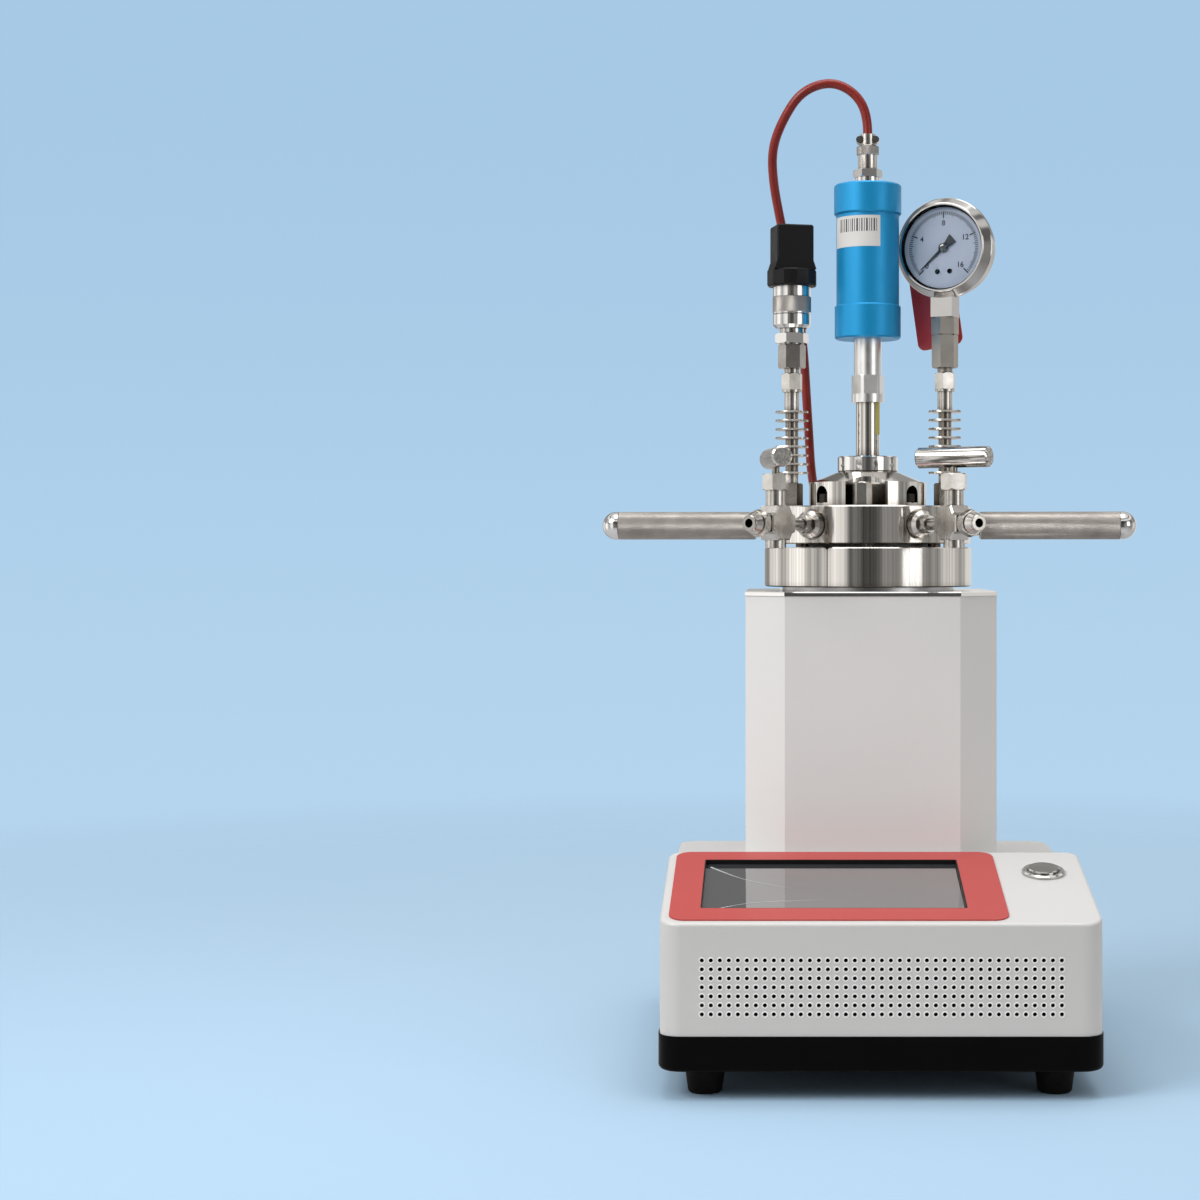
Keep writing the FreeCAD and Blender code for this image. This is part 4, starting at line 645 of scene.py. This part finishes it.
# %% [markdown]
# ## The face of the gauge
# The scale has eighty divisions over three quarters of a turn. Each tick is a small section
# turned through a degree or two, from the angle where the tick belongs, and all are joined. The
# numbers are plain figures, made as text and turned into a mesh. The dial is modelled lying flat
# with its centre at the origin, and then it is stood up and turned to face a little left.

# %% Dial
GAUGE_TURN = -24.0
GAUGE = at(49.613, 51.052, 500.81, GAUGE_TURN) @ Matrix.Rotation(math.radians(90), 4, "X")
SCALE_START = 225.0
SCALE_SWEEP = 270.0
DIVISIONS = 80
FULL_SCALE = 16
SCALE_RADIUS = 23.6
NUMBER_RADIUS = 16.0
INK_LOW = 2.61
INK_HIGH = 2.66


def dial_turn(value, full):
    """The angle on the dial of a value out of the full scale."""
    return SCALE_START - value * SCALE_SWEEP / full


def tick(inner, width, turn):
    """One division of the dial; its width and its place are angles in degrees."""
    section = [(inner, INK_LOW), (SCALE_RADIUS, INK_LOW), (SCALE_RADIUS, INK_HIGH), (inner, INK_HIGH)]
    return lathe("tick", section, 1, width, turn - width / 2)


def figures(number, turn):
    """A plain number, upright on the dial."""
    alone()
    x = NUMBER_RADIUS * math.cos(math.radians(turn))
    y = NUMBER_RADIUS * math.sin(math.radians(turn))
    bpy.ops.object.text_add(location=(x * MM, y * MM, 2.63 * MM))
    written = bpy.context.object.data
    written.body = str(number)
    written.size = 4.8 * MM
    written.align_x = "CENTER"
    written.align_y = "CENTER"
    written.extrude = 0.03 * MM
    written.offset = 0.12 * MM
    written.resolution_u = 3
    bpy.ops.object.convert(target="MESH")
    return bpy.context.object


scale = []
for step in range(DIVISIONS + 1):
    at_number = step % 20 == 0
    inner = 19.2 if at_number else 20.6 if step % 5 == 0 else 21.4
    scale.append(tick(inner, 2.4 if at_number else 1.5, dial_turn(step, DIVISIONS)))
for number in range(0, FULL_SCALE + 1, 4):
    scale.append(figures(number, dial_turn(number, FULL_SCALE)))
keep(settle(joined("dial_scale", scale), GAUGE), "reactor", "pointer_black", pointer_paint)

# %% [markdown]
# Two small screws hold the dial, a black seal lies round the window, and a turned boss covers
# the pointer's middle. The boss rides with the pointer, so it turns when the pointer does.

# %% Small pieces of the gauge
SCREW_HEAD = [(0, 2.6), (1.6, 2.6), (1.6, 2.9), (1.2, 3.1), (0.5, 3.1), (0.4, 2.95), (0, 2.95)]
dial_screws = []
for x in (-4.2, 4.2):
    head = lathe("dial_screw", SCREW_HEAD, 24)
    head.location = (x * MM, -15.0 * MM, 0)
    dial_screws.append(head)
keep(settle(joined("dial_screws", dial_screws), GAUGE), "reactor", "screw_steel", black_paint)

seal = lathe("window_seal", [(26.0, 4.3), (27.25, 4.3), (27.25, 4.85), (26.3, 4.85), (26.0, 4.3)], 96)
keep(settle(seal, GAUGE), "reactor", "foot_rubber", rubber)

BOSS = [(0, 4.2), (2.3, 4.2), (2.3, 4.4), (1.9, 4.6), (1.0, 4.6), (0.8, 4.45), (0, 4.45)]
hub = lathe("pointer_hub", BOSS, 32)
keep(settle(hub, GAUGE), "pointer", "polished_steel", polished)

# %% [markdown]
# ## Sticker and strip
# A white paper sticker is wrapped round the blue housing. Its print is left out, and only plain
# grey bars stand for it. A yellow strip is wound on the tube below. Both are thin sheets with a
# real thickness, so that their edges catch light.

# %% Helper for wrapped sheets
def wrapped(name, radius, thickness, low, high, first, last):
    """A sheet wound on an upright round wall, between two bearings (0 is the front)."""
    section = [(radius, low), (radius + thickness, low), (radius + thickness, high), (radius, high)]
    steps = max(1, round((last - first) / 4))
    return lathe(name, section, steps, last - first, first - 90)

# %% Sticker on the housing
BAR_WIDTHS = (1.1, 2.4, 0.9, 1.5, 3.0, 1.0, 1.0, 2.2, 1.4, 3.2, 0.9, 2.0, 1.2, 2.8, 1.0, 1.6, 2.4, 1.0)
BAR_GAP = 2.7
STICKER_RADIUS = 20.21
STICKER_THICKNESS = 0.12
paper = finish("white_paper", (0.80, 0.79, 0.77), roughness=0.5)
relief(paper, noise(paper, 1800, 3), 0.00003, 0.3)
grey_print = finish("grey_print", (0.045, 0.045, 0.05), roughness=0.5)
relief(grey_print, noise(grey_print, 2500, 2), 0.00001, 0.3)
sticker = wrapped("housing_sticker", STICKER_RADIUS, STICKER_THICKNESS, 500.2, 520.0, -79, 21)
keep(settle(sticker, ON_AXIS), "reactor", "white_plastic", paper)

bars = []
bearing = -62.0
for width in BAR_WIDTHS:
    on_paper = STICKER_RADIUS + STICKER_THICKNESS
    bars.append(wrapped("bar", on_paper, 0.03, 509.8, 518.0, bearing, bearing + width))
    bearing += width + BAR_GAP
keep(settle(joined("sticker_bars", bars), ON_AXIS), "reactor", "pointer_black", grey_print)

# %% Yellow strip on the tube
yellow = finish("yellow_tape", (0.70, 0.60, 0.12), roughness=0.45)
relief(yellow, noise(yellow, 1500, 2), 0.00003, 0.3)
strip = wrapped("tube_tape", 7.61, 0.1, 381.0, 401.5, 40, 92)
keep(settle(strip, ON_AXIS), "reactor", None, yellow)

# %% [markdown]
# ## The gasket round the screen
# The screen sits a little below the console's slope, and a black gasket closes the step. It is
# modelled on the slope itself: x runs across it, and y runs up it from the front edge.

# %% Gasket round the screen
FRONT_Y = -148.0
SLOPE_FOOT = 98.6
SLOPE = 11.2196
WINDOW_WIDTH = 151.3
WINDOW_HEIGHT = 83.9
WINDOW_X = -26.0
WINDOW_UP = 65.04
CONSOLE = at(0, FRONT_Y, SLOPE_FOOT) @ Matrix.Rotation(math.radians(SLOPE), 4, "X")
alone()
bpy.ops.mesh.primitive_plane_add(size=1)
frame_piece = bpy.context.object
frame_piece.name = frame_piece.data.name = "screen_gasket"
frame_piece.scale = (WINDOW_WIDTH * MM, WINDOW_HEIGHT * MM, 1)
frame_piece.location = (WINDOW_X * MM, WINDOW_UP * MM, -1.95 * MM)
settle(frame_piece, CONSOLE)
bpy.context.tool_settings.mesh_select_mode = (False, False, True)
bpy.ops.object.mode_set(mode="EDIT")
bpy.ops.mesh.select_all(action="SELECT")
bpy.ops.mesh.inset(thickness=0.7 * MM)
bpy.ops.mesh.delete(type="FACE")
bpy.ops.mesh.select_all(action="SELECT")
up_slope = CONSOLE.to_3x3() @ Vector((0, 0, 2.6 * MM))
bpy.ops.mesh.extrude_region_move(TRANSFORM_OT_translate={"value": up_slope})
bpy.ops.mesh.select_all(action="SELECT")
bpy.ops.mesh.normals_make_consistent(inside=False)
bpy.ops.object.mode_set(mode="OBJECT")
keep(frame_piece, "reactor", "black_plastic", black_plastic)

# %% [markdown]
# ## The rims of the air holes
# Each air hole has a slightly raised rim, where the paint is thick. The rims are painted brighter than
# the coat round them: a painted highlight on their edges. One rim is turned, and two array modifiers
# repeat it over the field: along a row first, and then up the rows.

# %% Rims of the air holes
HOLE_PITCH = 5
HOLE_COLUMNS = 41
HOLE_ROWS = 7
FIRST_HOLE_X = -100
FIRST_HOLE_Z = 48.3
rims = lathe("air_hole_rims", [(1.85, 0.0), (1.7, 0.2), (1.3, 0.2), (1.14, 0.0)], 16)
rims.rotation_euler[0] = math.radians(90)
rims.location = (FIRST_HOLE_X * MM, FRONT_Y * MM, FIRST_HOLE_Z * MM)
settle(rims)
along_row = (HOLE_PITCH * MM, 0, 0)
up_rows = (0, 0, HOLE_PITCH * MM)
for count, offset in ((HOLE_COLUMNS, along_row), (HOLE_ROWS, up_rows)):
    array = rims.modifiers.new("repeat", "ARRAY")
    array.count = count
    array.use_relative_offset = False
    array.use_constant_offset = True
    array.constant_offset_displace = offset
    bpy.ops.object.modifier_apply(modifier=array.name)
# Brighter than the white coat: a painted highlight on the rims.
rim_highlight_paint = finish("rim_paint_painted_highlight", (0.95, 0.95, 0.94), roughness=0.3)
relief(rim_highlight_paint, noise(rim_highlight_paint, 900, 2), 0.00003, 0.3)
keep(rims, "reactor", "white_paint", rim_highlight_paint)

# %% [markdown]
# ## Creases in the screen's film
# The clear film on the screen has two long creases. Each is a thin curve through a few points
# (across the slope, up the slope, thickness), made mesh and pressed flat.

# %% Creases in the film
CREASES = (
    ((-98, 101, 0.9), (-84, 84, 0.2), (-68, 72, 0.3), (-49, 63, 0.05)),
    ((-99, 25, 0.9), (-86, 34, 0.2), (-70, 40, 0.3), (-48, 43, 0.3), (-30, 44, 0.05)),
)


def crease(number, route):
    """A soft fold; the third value of a point swells or thins it there."""
    curve = bpy.data.curves.new("crease", "CURVE")
    curve.dimensions = "3D"
    line = curve.splines.new("NURBS")
    line.points.add(len(route) - 1)
    for point, (x, up, swell) in zip(line.points, route):
        point.co = (x * MM, up * MM, 0, 1)
        point.radius = swell
    line.order_u = 3
    line.use_endpoint_u = True
    line.resolution_u = 12
    curve.bevel_depth = 0.8 * MM
    curve.bevel_resolution = 1
    made = bpy.data.objects.new("film_crease_%d" % number, curve)
    bpy.context.scene.collection.objects.link(made)
    alone(made)
    bpy.ops.object.convert(target="MESH")
    made = bpy.context.object
    made.scale = (1, 1, 0.25)
    made.location = (0, 0, -1.9 * MM)
    return settle(made, CONSOLE)


clear_film = finish("clear_film_fold", (0.80, 0.82, 0.84), roughness=0.15, Alpha=0.6)
creases = joined("film_creases", [crease(n, route) for n, route in enumerate(CREASES)])
keep(creases, "reactor", "window_glass", clear_film)

# %% [markdown]
# ## Floor, backdrop and light
# The floor is a pale blue disc that fades out with distance, so it runs into the backdrop with
# no line. Only the camera sees the blue. Everything else sees a neutral studio: steel shows
# what stands round it, and blue there would tint every tube.

# %% Floor
BACKDROP = (0.385, 0.585, 0.79)
FLOOR_SEEN = (0.415, 0.59, 0.765)
FLOOR_FOR_LIGHT = (0.55, 0.56, 0.58)
FADE_FROM = 0.40
FADE_TO = 1.5
bpy.context.scene.view_settings.view_transform = "Standard"
bpy.ops.object.select_all(action="DESELECT")
bpy.ops.mesh.primitive_circle_add(vertices=96, radius=4.0, fill_type="TRIFAN", location=(0, 0, 0))
floor = bpy.context.object
floor.name = "floor"
floor_paint = finish("pale_floor", BACKDROP, roughness=0.8, Specular_IOR_Level=0.2)
shader = floor_paint.node_tree.nodes["Principled BSDF"]
away = node(floor_paint, "ShaderNodeVectorMath")
away.operation = "LENGTH"
wire(floor_paint, away.inputs[0], place(floor_paint))
fade = between(floor_paint, away.outputs["Value"], FADE_FROM, FADE_TO, 1.0, 0.0)
wire(floor_paint, shader.inputs["Alpha"], fade)
camera_looks = node(floor_paint, "ShaderNodeLightPath").outputs["Is Camera Ray"]
floor_mix = node(floor_paint, "ShaderNodeMix")
floor_mix.data_type = "RGBA"
wire(floor_paint, floor_mix.inputs["Factor"], camera_looks)
floor_mix.inputs[6].default_value = (*FLOOR_FOR_LIGHT, 1.0)
floor_mix.inputs[7].default_value = (*FLOOR_SEEN, 1.0)
wire(floor_paint, shader.inputs["Base Color"], floor_mix.outputs[2])
floor.data.materials.append(floor_paint)

# %% [markdown]
# The studio is a ring of light and dark panels. Each stop of the ramp is one edge of a panel:
# its place round the ring, from the back (0) over the left (0.25), the front (0.5) and the
# right (0.75) to the back again, and how bright it is.

# %% Helpers for the world
world = bpy.data.worlds.new("studio")
bpy.context.scene.world = world
world.use_nodes = True
tree = world.node_tree
background = tree.nodes["Background"]


def world_node(kind, operation=None, *values):
    """A node of the world, with its inputs in order."""
    new = tree.nodes.new(kind)
    if operation:
        new.operation = operation
    for socket, value in zip(new.inputs, values):
        if isinstance(value, bpy.types.NodeSocket):
            tree.links.new(value, socket)
        else:
            socket.default_value = value
    return new


def world_range(value, low, high, out_low, out_high):
    """A smooth step between two values of a direction."""
    step = world_node("ShaderNodeMapRange", None, value, low, high, out_low, out_high)
    step.interpolation_type = "SMOOTHSTEP"
    return step.outputs["Result"]


def fill_ramp(ramp, table):
    """Puts (place, brightness) pairs on a colour ramp; the light is a little warm."""
    stops = ramp.color_ramp.elements
    stops.remove(stops[1])
    for number, (where, level) in enumerate(table):
        stop = stops[0] if number == 0 else stops.new(where)
        stop.position = where
        stop.color = (level, level * 0.985, level * 0.96, 1.0)


def world_mix(factor, first, second):
    """A mix of two colours or links in the world."""
    new = tree.nodes.new("ShaderNodeMix")
    new.data_type = "RGBA"
    tree.links.new(factor, new.inputs["Factor"])
    for socket, value in ((new.inputs[6], first), (new.inputs[7], second)):
        if isinstance(value, bpy.types.NodeSocket):
            tree.links.new(value, socket)
        else:
            socket.default_value = (*value, 1.0)
    return new.outputs[2]

# %% [markdown]
# A ray's direction gives its place on the ring, and its height picks the ceiling when it points
# well up.

# %% Ring of panels and ceiling
PANELS = (
    (0.00, 0.50), (0.05, 0.36), (0.09, 0.30), (0.11, 0.95), (0.16, 1.10), (0.18, 0.62), (0.21, 0.75),
    (0.23, 1.30), (0.285, 1.40), (0.30, 0.58), (0.325, 0.72), (0.335, 0.30), (0.35, 0.75),
    (0.385, 1.15), (0.415, 1.20), (0.43, 0.60), (0.44, 0.13), (0.46, 0.24), (0.48, 0.08),
    (0.52, 0.10), (0.545, 0.36), (0.58, 0.28), (0.60, 0.46), (0.65, 0.27), (0.70, 0.36),
    (0.735, 0.42), (0.75, 0.82), (0.80, 0.88), (0.83, 0.48), (0.87, 0.58), (0.89, 0.95), (0.96, 0.80),
)
CEILING = ((0.58, 0.50), (0.62, 1.05), (0.74, 0.95), (0.77, 0.28), (0.82, 0.24), (0.85, 1.0), (1.0, 0.85))
direction = tree.nodes.new("ShaderNodeTexCoord").outputs["Generated"]
parts = world_node("ShaderNodeSeparateXYZ", None, direction)
side, depth, height = parts.outputs["X"], parts.outputs["Y"], parts.outputs["Z"]
forward = world_node("ShaderNodeMath", "MULTIPLY", depth, -1.0).outputs[0]
angle = world_node("ShaderNodeMath", "ARCTAN2", side, forward).outputs[0]
ring = world_node("ShaderNodeMath", "MULTIPLY_ADD", angle, 0.5 / math.pi, 0.5).outputs[0]
panels = world_node("ShaderNodeValToRGB", None, ring)
fill_ramp(panels, PANELS)
ceiling = world_node("ShaderNodeValToRGB", None, height)
fill_ramp(ceiling, CEILING)

# %% [markdown]
# The panels are dimmer above their top edge and towards the ground. Diffuse light from near the
# ground is nearly taken away, so that the floor under the base grows dark as in the photo.

# %% Dimming
overhead = world_range(height, 0.56, 0.60, 0.0, 1.0)
gap = world_range(height, 0.20, 0.26, 1.0, 0.45)
below = world_range(height, -0.9, -0.05, 0.55, 1.0)
light_path = tree.nodes.new("ShaderNodeLightPath")
minus_diffuse = world_node("ShaderNodeMath", "MULTIPLY", light_path.outputs["Is Diffuse Ray"], -1.0)
low_light = world_range(height, -0.1, 0.4, 0.95, 0.0)
shade = world_node("ShaderNodeMath", "MULTIPLY_ADD", minus_diffuse.outputs[0], low_light, 1.0)
both = world_node("ShaderNodeMath", "MULTIPLY", below, gap)
level = world_node("ShaderNodeMath", "MULTIPLY", both.outputs[0], shade.outputs[0])
dimmed = world_node("ShaderNodeVectorMath", "SCALE", panels.outputs["Color"])
tree.links.new(level.outputs[0], dimmed.inputs["Scale"])

# %% [markdown]
# The camera sees the backdrop instead of the studio, directly and through the gauge's window.
# The backdrop is paler low down, where it meets the floor.

# %% What the camera sees
LOW_SKY = (0.46, 0.66, 0.85)
studio = world_mix(overhead, dimmed.outputs[0], ceiling.outputs["Color"])
sky = world_mix(world_range(height, -0.12, 0.2, 0.0, 1.0), LOW_SKY, BACKDROP)
see_through = world_node("ShaderNodeMath", "MAXIMUM", light_path.outputs["Is Camera Ray"],
                         light_path.outputs["Is Transmission Ray"])
tree.links.new(world_mix(see_through.outputs[0], studio, sky), background.inputs["Color"])
background.inputs["Strength"].default_value = 1.0

# %% Lamps
def softbox(name, place_at, aim, width, height, watts):
    """A large soft lamp that faces a point."""
    lamp_data = bpy.data.lights.new(name, "AREA")
    lamp_data.shape = "RECTANGLE"
    lamp_data.size = width
    lamp_data.size_y = height
    lamp_data.energy = watts
    lamp = bpy.data.objects.new(name, lamp_data)
    lamp.location = place_at
    aim_at = Vector(aim) - Vector(place_at)
    lamp.rotation_euler = aim_at.to_track_quat("-Z", "Y").to_euler()
    bpy.context.scene.collection.objects.link(lamp)


softbox("key_left", (-1.25, -0.85, 1.4), (0, 0, 0.35), 0.9, 0.9, 18)
softbox("fill_right", (1.7, -1.5, 0.8), (0, 0, 0.25), 1.0, 1.2, 7)
softbox("top", (0.0, -0.1, 1.9), (0, 0.03, 0.2), 1.2, 1.0, 10)
print("lamps", [lamp.name for lamp in bpy.data.lights])
